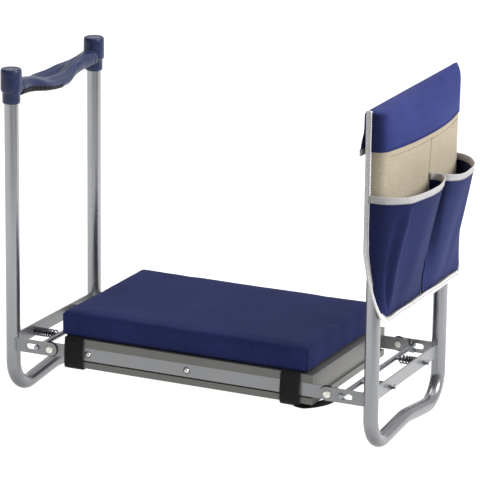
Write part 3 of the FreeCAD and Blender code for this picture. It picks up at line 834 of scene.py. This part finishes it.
def build_strap(label, sag, stand_off):
    low, high = node_box(label + "_strap")
    x = (low.x + high.x) / 2 - SEAT_X
    half = (high.x - low.x) / 2 + 1.6
    path = strap_path(sag, stand_off)
    along = directions(path, closed=True)

    def ring(i):
        out = Vector((0, -along[i].z, along[i].y))
        lean = 1.2 * math.sin(math.tau * i / len(path) * 2 + half)
        return [Vector((x + a * half + lean, path[i].y, path[i].z)) - out * b * 1.5 for a, b in STRAP_SECTION]

    made = swept(label + "_webbing", path, ring, WEBBING, "seat", closed=True)
    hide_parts(label + "_strap")


def strap_tail():
    """The loose end of the right strap's closure, pulled out under the tray's corner."""
    low, high = node_box("right_strap")
    x = (low.x + high.x) / 2 - SEAT_X
    y = RAIL_LOW.y
    path = [(x + 3, y + 1, 57.5), (x + 16, y + 5, 55.5), (x + 32, y + 22, 55.5), (x + 44, y + 38, 57.5)]
    path = smooth_path(path + [(x + 50, y + 50, 59.0)], 26)
    rows = []
    for i, point in enumerate(path):
        half = 11.0 * (1 - 0.35 * smoothstep((i - 18) / 7))
        rows.append([(point.x - 0.75 * half * a, point.y + 0.66 * half * a, point.z + 1.4 * a * a)
                     for a in (-1, -0.6, -0.2, 0.2, 0.6, 1)])
    made = sheet_piece("right_webbing_tail", rows, WEBBING, "seat", 1.8)


# ------------------------------------------------------------------ springs and welds

COIL_RADIUS = 5.9


def build_spring(label, end_label):
    """A real coil, closer wound towards the cross-bar."""
    low, high = node_box("%s_spring_%s" % (label, end_label))
    side = SIDES[label]
    y = (low.y + high.y) / 2
    near, far = ((low.x, high.x) if side > 0 else (high.x, low.x))
    turns = 8.5
    steps = 300
    path = []
    for i in range(steps + 1):
        t = i / steps
        angle = math.tau * turns * t
        progress = t ** 0.72
        settle = smoothstep(min(t, 1 - t) / 0.06)
        share = 0.5 + (progress - 0.5) * (0.94 + 0.02 * settle)
        x = near + (far - near) * share - SEAT_X
        path.append((x, y + COIL_RADIUS * math.cos(angle), PIVOT_Z + COIL_RADIUS * math.sin(angle)))
    made = round_bar("%s_coil_%s" % (label, end_label), path, 1.15, SPRING_STEEL, None,
                     8, up=(1, 0, 0))
    start = at(near - SEAT_X, y, PIVOT_Z)
    finish = at(far - SEAT_X, y, PIVOT_Z)
    return made, start, finish


def build_springs():
    for label in SIDES:
        for end_label in ENDS:
            made, start, finish = build_spring(label, end_label)
            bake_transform(made)
            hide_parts("%s_spring_%s" % (label, end_label))


def weld_bead(name, x, y, low, high, radius, body):
    """A lumpy bead straight up from low to high."""
    path = [(x, y, low + (high - low) * i / 14) for i in range(15)]
    sizes = [radius * (0.85 + 0.3 * abs(math.sin(i * 1.7)) + 0.1 * rng.random()) for i in range(len(path))]
    sizes[0] *= 0.4
    sizes[-1] *= 0.4
    round_bar(name, path, sizes, WELD, body, 8)


def build_welds():
    """Beads where each bracket and the cross-bar meet the uprights."""
    bar_low, bar_high = node_box("right_cross_bar")
    for label, side in SIDES.items():
        body = label + "_leg"
        for end_label, end in ENDS.items():
            for tag, y in (("outer", BRACKET_HIGH.y), ("inner", BRACKET_LOW.y)):
                reach = math.sqrt(TUBE_RADIUS ** 2 - (y - UPRIGHT_Y) ** 2)
                x = side * (UPRIGHT_X - reach - 0.2)
                name = "%s_%s_bracket_weld_%s" % (label, end_label, tag)
                weld_bead(name, x, end * y, BRACKET_LOW.z, BRACKET_HIGH.z, 1.5, body)
            bar_x = side * ((bar_low.x + bar_high.x) / 2 - SEAT_X)
            for tag, shift in (("inboard", -1.6), ("outboard", 1.6)):
                x = bar_x + side * shift
                gap = math.sqrt(TUBE_RADIUS ** 2 - (abs(x) - UPRIGHT_X) ** 2)
                name = "%s_%s_cross_bar_weld_%s" % (label, end_label, tag)
                weld_bead(name, x, end * (UPRIGHT_Y - gap - 0.2), bar_low.z, bar_high.z, 1.4, body)


# ------------------------------------------------------------------ screws, split pins and washers

SCREW_RADIUS = 4.3


def build_screws():
    """Pan-head screws with a cross recess, three along each long side of the tray."""
    for end_label, end in ENDS.items():
        name = "rail_screws_" + end_label
        low, high = node_box(name)
        centre = (low.x + high.x) / 2 - SEAT_X
        reach = (high.x - low.x) / 2 - SCREW_RADIUS + 0.3
        crown = high.y if end > 0 else -low.y
        height = (low.z + high.z) / 2
        places = (centre - reach, centre, centre + reach)
        points = []
        faces = []
        for x in places:
            join(points, faces, screw_head(x, height, end, crown + 0.5))
        made = piece(name + "_heads", points, faces, CHROME, "seat")
        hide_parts(name)
        # A black ring of painted shade round each head.
        screw_rim_shade(name + "_rim_shade", places, height, end, crown - 2.4)


def screw_rim_shade(name, places, height, end, face):
    """Painted shade round each screw head: a thin black ring standing for the shade in the gap round it."""
    points = []
    faces = []
    section = ((-0.2, 0.2), (0.5, 0.45), (1.3, 0.05))
    profile = [(SCREW_RADIUS + grow, end * (face + lift)) for grow, lift in section]
    for x in places:
        join(points, faces, (turned(profile, x, height), grid_faces(3, TURNS, wrap_columns=True)))
    piece(name, points, faces, NYLON, "seat")


def screw_head(x, height, end, crown):
    rings = 22
    twist = 0.5 + 0.01 * x
    points = []
    for i in range(rings):
        share = i / (rings - 1)
        radius = SCREW_RADIUS * math.sin(math.pi / 2 * share) if share < 1 else SCREW_RADIUS
        dome = 2.4 * (1 - (radius / SCREW_RADIUS) ** 3.2)
        for c, s in circle(TURNS):
            u = radius * c
            v = radius * s
            a = abs(u * math.cos(twist) + v * math.sin(twist))
            b = abs(v * math.cos(twist) - u * math.sin(twist))
            recess = 1.5 * smoothstep((0.75 - min(a, b)) / 0.35) * smoothstep((2.5 - max(a, b)) / 0.5)
            points.append((x + u, end * (crown - 2.4 + dome - recess), height + v))
    points += turned([(SCREW_RADIUS, end * (crown - 3.2))], x, height)
    return points, grid_faces(rings + 1, TURNS, wrap_columns=True) + end_faces(len(points), TURNS)


GUIDE_PIN_Y = 65.0


def build_cotters():
    """Split pins through the guide pins outside the cross-bars: an eye, two legs, and the legs' bent ends."""
    leg_path = [(0, -6.6, 0.0), (0, -5.9, 1.7), (0, -4.4, 1.6), (0, -3.2, 0.55), (0, 3.4, 0.5)]
    leg_path += [(0.3, 4.8, 1.6), (0.5, 5.8, 3.4)]
    for label in SIDES:
        low, high = node_box(label + "_cotter_pins")
        x = (low.x + high.x) / 2 - SEAT_X
        points = []
        faces = []
        for end in ENDS.values():
            for leg in (-1, 1):
                path = [(x + leg * a, end * GUIDE_PIN_Y + b, PIVOT_Z + leg * c) for a, b, c in leg_path]
                join(points, faces, wire(smooth_path(path, 28), 0.62))
        made = piece(label + "_split_pins", points, faces, SPRING_STEEL, label + "_lock")
        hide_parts(label + "_cotter_pins")


def wire(path, radius):
    sides = 8
    points = []
    for point, d in zip(path, directions(path)):
        side = d.cross(Vector((1, 0, 0))).normalized()
        lift = side.cross(d)
        points += [point + side * c * radius + lift * s * radius for c, s in circle(sides)]
    return points, grid_faces(len(path), sides, wrap_columns=True) + end_faces(len(points), sides)


def build_washers():
    """Nylon washers between brackets and hinge bars, a little wider than the bracket's round end."""
    for label in SIDES:
        low, high = node_box(label + "_pivot_washers")
        x = (low.x + high.x) / 2 - SEAT_X
        outer = high.y - 0.02
        inner = outer - 0.96
        profile = [(4.2, inner), (11.9, inner), (12.4, inner + 0.3)]
        profile += [(12.4, outer - 0.3), (11.9, outer), (4.2, outer)]
        points = []
        faces = []
        for end in ENDS.values():
            ring = turned([(radius, end * y) for radius, y in profile], x, PIVOT_Z)
            join(points, faces, (ring, grid_faces(6, TURNS, wrap_rows=True, wrap_columns=True)))
        made = piece(label + "_washers", points, faces, NYLON, label + "_leg")
        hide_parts(label + "_pivot_washers")


# ------------------------------------------------------------------ tool bag

HOOD_SEAM_Z = CAP_TOP - 55.0
FLAP_FOOT_Z = CAP_TOP - 61.0
BAG_Y = BAG_HALF + 0.8
FOOT_X = PANEL_HIGH.x - SEAT_X + 3.0
FRONT_EDGE_X = UPRIGHT_X - 6.0
BACK_EDGE_X = UPRIGHT_X + 6.0
FLAP_X = UPRIGHT_X - 17.4
CAP_CLEAR_X = UPRIGHT_X + 17.6
EDGE_TURN_Z = 312.0
RIM_Z = 391.5
DIVIDER_Y = -4.0
TAPE_WIDTH = 7.2
TAPE_THICK = 2.6
COLUMNS = 72


def edge_x(side, z):
    """How far the bag's front (-1) or back (1) edge wraps in round the upright at one height."""
    start = FRONT_EDGE_X if side < 0 else BACK_EDGE_X
    drop = max(EDGE_TURN_Z - z, 0.0) / (EDGE_TURN_Z - BAG_FOOT)
    return start + 1.5 * min(drop * 4, 1.0) + (FOOT_X - start - 1.5) * drop ** 1.75


def bulge_x(y, z):
    """The outer face's plan where the grip behind it pushes it out."""
    share = min(abs(y + 8.0) / (BAG_Y + 6.0), 1.0)
    out = 13.5 + 4.5 * smoothstep((z - RIM_Z) / (HOOD_SEAM_Z - RIM_Z))
    return UPRIGHT_X + 13.5 + out * (1 - share ** 2.2)


def face_x(y, z):
    """The outer face: nearly flat at its foot, bulging at the hood's seam, and leaning in to the caps."""
    hang = smoothstep((z - BAG_FOOT) / 170.0)
    foot = FOOT_X + 0.9 * math.sin(y * 0.05)
    x = foot + (bulge_x(y, z) - foot) * hang
    ripple = 1.1 * math.sin(y * 0.062 + z * 0.021) * smoothstep((HOOD_SEAM_Z - z) / 50)
    lean = smoothstep((z - HOOD_SEAM_Z) / 48.0)
    return x + ripple * (1 - abs(y) / BAG_Y) + (CAP_CLEAR_X - x) * lean


def bag_plan(z, outset=0.0):
    """The cloth's plan at one height, from its front edge round the outer face to its back edge."""
    round_front = 25.0 - 12.0 * smoothstep((z - HOOD_SEAM_Z + 12) / 12)
    round_back = 9.0 + 9.0 * smoothstep((z - HOOD_SEAM_Z + 12) / 12)
    first = edge_x(-1, z)
    last = edge_x(1, z)
    turn = face_x(-BAG_Y + round_front, z)
    far = face_x(BAG_Y - round_back, z)
    back_y = BAG_Y - 9.0 * max(0.0, 1.0 - (z - BAG_FOOT) / 14.0) ** 2
    front_y = -back_y
    knots = [(first, front_y), (first + 0.4 * (turn - first), front_y + 0.03 * round_front)]
    knots += [(first + 0.78 * (turn - first), front_y + 0.28 * round_front), (turn, front_y + round_front)]
    steps = 12
    for i in range(1, steps):
        y = front_y + round_front + (back_y - front_y - round_front - round_back) * i / steps
        knots.append((face_x(y, z), y))
    knots += [(far, back_y - round_back), (far - 0.15 * (far - last) - 0.8, back_y - 0.25 * round_back)]
    plan = smooth_path([(x, y, z) for x, y in knots + [(last, back_y)]], COLUMNS)
    if outset:
        plan = [p + out * outset for p, out in zip(plan, outward(plan))]
    return plan


def outward(path):
    """The way a level path's right-hand side faces, at each point."""
    return [Vector((d.y, -d.x, 0)) for d in directions(path)]


def hang_sheet(name, rows, material, thickness=1.2):
    """A sheet of the bag, on the right leg."""
    made = sheet_piece(name, rows, material, "right_leg", thickness)
    return made


def build_bag_back():
    """The cream cloth from the hood seam to the foot."""
    count = 40
    rows = [bag_plan(BAG_FOOT + 2 + (HOOD_SEAM_Z + 2 - BAG_FOOT) * i / (count - 1)) for i in range(count)]
    made = hang_sheet("bag_back_cloth", rows, BAG_CREAM)
    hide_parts("bag_panel", "bag_edge_binding")


def ridge(y):
    """The hood's top fold. It runs straight and rises to a stiff corner at the back."""
    back = max(y, 0.0)
    return UPRIGHT_X - 5.0 + 0.095 * back, CAP_TOP + 6.0 + 0.02 * min(y, 0.0) + 0.080 * back


def flap_x(y, z):
    """The hood's inner side, pushed in by the grip between the caps."""
    push = smoothstep((84 - abs(y)) / 26) * smoothstep((CAP_TOP - 14 - z) / 12)
    curl = 8.0 * smoothstep((-138 - y) / 8) * smoothstep((z - FLAP_FOOT_Z - 4) / 52)
    return FLAP_X - 7.0 * push + curl - 0.5 * math.sin(y * 0.07)


def build_bag_hood():
    """The navy sleeve: up the outer side from the seam, over the caps and down the inner side."""
    rows = [bag_plan(HOOD_SEAM_Z + (CAP_TOP - 1.5 - HOOD_SEAM_Z) * i / 14, 1.3) for i in range(15)]
    ends = [-BAG_Y - 0.6 + (2 * BAG_Y + 1.2) * (k / (COLUMNS - 1)) for k in range(COLUMNS)]
    last = rows[-1]
    top = [(*ridge(y), y) for y in ends]
    for reach, drop in ((0.12, 0.42), (0.45, 0.12), (0.8, 0.03), (1.0, 0.0)):
        rows.append([
            Vector((start.x + (x - start.x) * reach, start.y + (y - start.y) * reach,
                    z - (z - start.z) * drop))
            for start, (x, z, y) in zip(last, top)
        ])
    rows.append([Vector((x - 8.0, y, z - 2.5)) for x, z, y in top])
    for i in range(12):
        z = CAP_TOP - 3 - (CAP_TOP - 3 - FLAP_FOOT_Z) * i / 11
        rows.append([Vector((flap_x(y, z), y, z)) for y in ends])
    made = hang_sheet("bag_hood_cloth", rows, BAG_NAVY, 1.3)
    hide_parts("bag_hood")
    foot = [p + Vector((0, 0, -1.0)) for p in rows[-1]]
    edge_tape("bag_flap_tape", foot, [Vector((0, 0, 1))] * COLUMNS, [Vector((-1, 0, 0))] * COLUMNS,
              [9.0] * COLUMNS, TAPE_THICK, TAPE)


FRONT_RIM = [(FRONT_EDGE_X + 8, -150.5), (318, -149.0), (334, -141), (344, -133), (349, -125), (353, -110)]
FRONT_RIM += [(357.5, -84), (359, -58), (358.5, -36), (355, -16), (346, -3), (335, 1), (326, -3)]
REAR_RIM = [(325, 0), (331, 5), (341, 6), (351, 8), (359, 19), (363, 40), (362, 68), (356, 98), (342, 126)]
REAR_RIM += [(323, 144)]


POCKET_COLUMNS = 60
POCKET_ROWS = 34
FOLD = 0.30
FOLD_AT_FOOT = 0.13


def foot_share(s, front):
    """Where along a pocket's foot the cloth from the share s of its rim is sewn down."""
    if not front:
        return s
    if s < FOLD:
        return s * FOLD_AT_FOOT / FOLD
    return FOLD_AT_FOOT + (s - FOLD) * (1 - FOLD_AT_FOOT) / (1 - FOLD)


def pocket_wander(s, t, front):
    """How far a pocket's cloth waves out, for shares s along it and t up it, with a fold in the front one."""
    body = math.sin(math.pi * s) * math.sin(math.pi * min(0.12 + 0.8 * t, 1.0))
    wave = 2.4 * math.sin(11.0 * s + 1.8 * t) + 1.5 * math.sin(21.0 * s - 1.2 * t + 2.0)
    fold = FOLD if front else 0.0
    wander = body * wave * 0.55 * (0.35 + 0.65 * smoothstep((s - fold) / 0.15))
    if front:
        lift = smoothstep(t / 0.25) * smoothstep((1.04 - t) / 0.3)
        wander -= 4.2 * lift * math.exp(-((s - fold + 0.04) / 0.042) ** 2)
        wander += 3.6 * lift * math.exp(-((s - fold - 0.018) / 0.022) ** 2)
    return wander


def pocket_rows(front):
    """A pocket's cloth from its foot up to its rim. Between them each point moves in a straight line."""
    if front:
        knots = [(edge_x(-1, RIM_Z) + 1, -BAG_Y - 1.2)] + FRONT_RIM
    else:
        knots = REAR_RIM + [(edge_x(1, RIM_Z) + 1, BAG_Y + 1)]
    drop = 0.0 if front else 1.0
    level = [(x, y, RIM_Z + 4.0 * smoothstep(1 - abs(y + 2) / 40) - drop) for x, y in knots]
    top = smooth_path(level, POCKET_COLUMNS)
    foot_z = BAG_FOOT + 6.0
    rows = []
    for i in range(POCKET_ROWS):
        t = i / (POCKET_ROWS - 1)
        plan = bag_plan(foot_z + (RIM_Z - foot_z) * t, 1.8)
        base = smooth_path([p for p in plan if (p.y <= DIVIDER_Y if front else p.y >= DIVIDER_Y)], 200)
        row = []
        for k, rim in enumerate(top):
            s = k / (POCKET_COLUMNS - 1)
            low = base[round(foot_share(s, front) * 199)]
            sag = 0.8 * t * math.sin(math.pi * s)
            row.append(Vector((
                low.x + (rim.x - low.x) * t + pocket_wander(s, t, front),
                low.y + (rim.y - low.y) * t,
                foot_z + (rim.z - foot_z) * t - sag,
            )))
        rows.append(row)
    return rows


def build_pockets():
    # The pockets wear the darker, painted-shade copies of the navy cloth.
    for kind, look in (("front", FRONT_POCKET_SHADED_NAVY), ("rear", REAR_POCKET_SHADED_NAVY)):
        rows = pocket_rows(kind == "front")
        name = "bag_%s_pocket" % kind
        made = hang_sheet(name, rows, look, 1.3)
        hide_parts("bag_pocket_" + kind)
        top = rows[-1]
        out = [way.normalized() for way in outward(top)]
        inward = [(b - a).normalized() for a, b in zip(top, rows[-2])]
        lifted = [p + Vector((0, 0, 0.6)) for p in top]
        tape = edge_tape("bag_%s_rim_tape" % kind, lifted, inward, out, [9.5] * POCKET_COLUMNS, TAPE_THICK,
                         TAPE)
        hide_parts("bag_rim_" + kind)
        line = [p + o * 1.45 + i * 8.0 for p, o, i in zip(top, out, inward)]
        stitches("bag_%s_rim_stitches" % kind, line, out, THREAD_GREY)


SIDE_TOP_Z = 324.0
HANG_STEP = 14


def side_key(side, z):
    """A point on the cloth's front (-1) or back (1) edge below the hood, with the way the cloth faces."""
    plan = bag_plan(z)
    edge, inner = (plan[0], plan[4]) if side < 0 else (plan[-1], plan[-5])
    into = (inner - edge).normalized()
    out = Vector((-into.y, into.x, 0)) * side
    return edge + out * 2.1 - into * 2.2, out


def side_keys(side, inset, stand, top, count):
    """Points down the cloth's front (-1) or back (1) edge from the caps and round its lower corner."""
    keys = []
    for i in range(count):
        point = (edge_x(side, CAP_TOP) - inset, side * (BAG_Y + stand), top - HANG_STEP * i)
        keys.append((point, (0, side, 0)))
    corner = BAG_FOOT + 7
    keys += [side_key(side, SIDE_TOP_Z - (SIDE_TOP_Z - corner) * i / 9) for i in range(10)]
    keys.append(((FOOT_X + 2.3, side * (BAG_Y - 6.5), BAG_FOOT + 0.2), (1, 0.1 * side, -0.3)))
    keys.append(((FOOT_X + 2.6, side * (BAG_Y - 14), BAG_FOOT - 2.0), (1, 0, -0.5)))
    return keys


def edge_keys():
    """Points round the hanging cloth's edge, each with the way its cloth faces."""
    keys = side_keys(-1, 2.2, 1.2, CAP_TOP + 4, 14)
    for i in range(11):
        y = (BAG_Y - 28) * (2 * i / 10 - 1)
        dip = 2.8 - 0.5 * math.sin(y * 0.045)
        keys.append(((face_x(y, BAG_FOOT) + 2.4, y, BAG_FOOT - dip), (1, 0, -0.55)))
    return keys + side_keys(1, 1.5, 1.0, CAP_TOP + 16, 15)[::-1]


def build_edge_tape():
    points, facings = zip(*edge_keys())
    count = (len(points) - 1) * 6 + 1
    path = smooth_path(points, count)
    lengths = distances(points)
    normal = []
    k = 0
    for i in range(count):
        k, part = find_step(lengths, lengths[-1] * i / (count - 1), k)
        normal.append(Vector(facings[k]).lerp(Vector(facings[k + 1]), min(max(part, 0.0), 1.0)).normalized())
    inward = [n.cross(d).normalized() for n, d in zip(normal, directions(path))]
    widths = [TAPE_WIDTH + 5.5 * smoothstep((BAG_Y - 12 - abs(p.y)) / 22) for p in path]
    edge_tape("bag_edge_tape", path, inward, normal, widths, TAPE_THICK + 0.8, EDGE_TAPE)
    line = [p + n * 2.1 + i * (w - 1.6) for p, n, i, w in zip(path, normal, inward, widths)]
    stitches("bag_edge_stitches", line, normal, THREAD_GREY)


def build_bag_seams():
    line = bag_plan(HOOD_SEAM_Z - 8.0, 0.75)[8:-4]
    stitches("bag_seam_stitches", line, outward(line), THREAD_CREAM)
    hem = bag_plan(HOOD_SEAM_Z + 3.0, 2.1)[4:-4]
    stitches("bag_hood_stitches", hem, outward(hem), THREAD_NAVY)
    for kind, low, high, stand, thread, slot in (
        ("upper", RIM_Z - 4, HOOD_SEAM_Z - 2, 0.9, THREAD_CREAM, "bag_cream_cloth"),
        ("lower", BAG_FOOT + 14, RIM_Z - 14, 2.8, THREAD_NAVY, "bag_navy_cloth"),
    ):
        levels = [low + (high - low) * i / 39 for i in range(40)]
        column = [Vector((face_x(DIVIDER_Y, z) + stand, DIVIDER_Y, z)) for z in levels]
        stitches("bag_divider_stitches_" + kind, column, [Vector((1, 0, 0))] * 40, thread)


# ------------------------------------------------------------------ stage, lights and camera

CAMERA_AZIMUTH = math.radians(25.28)
CAMERA_ELEVATION = math.radians(15.63)
CAMERA_ROLL = math.radians(0.685)
CAMERA_DISTANCE = 4624.5
CAMERA_AIM = (19.83, 50.62)
CAMERA_AIM_Z = 200.0
FOCAL_IN_FRAMES = 6.378
SENSOR = 36.0


def build_camera():
    azimuth, elevation = CAMERA_AZIMUTH, CAMERA_ELEVATION
    back = Vector((
        math.sin(azimuth) * math.cos(elevation), -math.cos(azimuth) * math.cos(elevation), math.sin(elevation)
    ))
    right = Vector((math.cos(azimuth), math.sin(azimuth), 0))
    up = back.cross(right)
    aim = right * CAMERA_AIM[0] + up * CAMERA_AIM[1] + Vector((0, 0, CAMERA_AIM_Z))
    data = bpy.data.cameras.new("camera")
    data.sensor_width = SENSOR
    data.lens = FOCAL_IN_FRAMES * SENSOR
    data.clip_end = 50.0
    camera = add_object("camera", data)
    turn = Matrix((right, up, back)).transposed() @ Matrix.Rotation(CAMERA_ROLL, 3, "Z")
    camera.matrix_world = Matrix.Translation(at(*(aim + back * CAMERA_DISTANCE))) @ turn.to_4x4()
    bpy.context.scene.camera = camera


def area_light(name, place, target, size, power):
    data = bpy.data.lights.new(name, "AREA")
    data.shape = "RECTANGLE"
    data.size, data.size_y = size
    data.energy = power
    lamp = add_object(name, data)
    lamp.location = place
    lamp.rotation_euler = (Vector(target) - Vector(place)).to_track_quat("-Z", "Y").to_euler()


DARK_FLOOR_SIDE = math.radians(58)
DARK_SKY_SIDE = math.radians(-30)


def graded(tree, vector, side, low, high, stops):
    """A grey that changes along the level direction side over the span low to high, with its stops."""
    along = tree.new("VectorMath")
    along.operation = "DOT_PRODUCT"
    tree.give(along.inputs[0], vector)
    tree.give(along.inputs[1], (math.sin(side), -math.cos(side), 0.0))
    spread = tree.new("MapRange", Value=along.outputs["Value"], From_Min=low, From_Max=high)
    return tree.ramp(spread.outputs["Result"], stops)


def build_stage():
    """A pale floor and a white studio, each greyer towards one side so that the metal shows its form."""
    look = Look("floor_look")
    look.set(Roughness=0.9, Emission_Strength=1.0)
    patches = look.ramp(look.noise(3.0), [(0.3, 0.93), (0.7, 1.0)])
    tone = graded(look, look.place, DARK_FLOOR_SIDE, 0.0, 3.0, [(0.21, 0.28), (0.33, 0.16), (1.0, 0.14)])
    # Painted light: the floor glows, brightly round the seat, where it washes out the seat's shadow, and
    # dimly further off towards the dark side.
    glow = graded(look, look.place, DARK_FLOOR_SIDE, 0.0, 3.0, [(0.21, 0.97), (0.33, 0.28), (1.0, 0.24)])
    look.set(Base_Color=look.times(patches, tone), Emission_Color=glow)
    mesh = bpy.data.meshes.new("floor")
    reach = 12.0
    corners = [(-reach, -reach, 0), (reach, -reach, 0), (reach, reach, 0), (-reach, reach, 0)]
    mesh.from_pydata(corners, [], [(0, 1, 2, 3)])
    mesh.materials.append(look.material)
    add_object("floor", mesh)
    world = bpy.data.worlds.new("studio")
    world.use_nodes = True
    tree = Tree(world.node_tree)
    background = world.node_tree.nodes["Background"].inputs
    sky = [(0.0, 1.0), (0.45, 0.95), (0.72, 0.34), (1.0, 0.22)]
    tree.give(background["Color"], graded(tree, tree.coordinates["Generated"], DARK_SKY_SIDE, -1.0, 1.0, sky))
    background["Strength"].default_value = 0.85
    bpy.context.scene.world = world
    area_light("key", (2.5, -0.15, 1.5), (0.1, 0.0, 0.3), (1.0, 1.0), 72.0)
    area_light("top", (-0.2, 0.6, 2.6), (0.0, 0.0, 0.1), (2.6, 1.8), 40.0)
    bpy.context.scene.view_settings.view_transform = "Standard"


# ------------------------------------------------------------------ the scene

build_camera()
build_stage()
dress_cad_nodes()
for seat_end in SIDES:
    build_handle(seat_end)
    build_rib_shade(seat_end)
pad_seams(*build_pad())
build_strap("left", 1.0, 0.5)
build_strap("right", 7.0, 1.5)
strap_tail()
build_springs()
build_welds()
build_bag_hood()
build_bag_back()
build_pockets()
build_edge_tape()
build_bag_seams()
build_screws()
build_cotters()
build_washers()
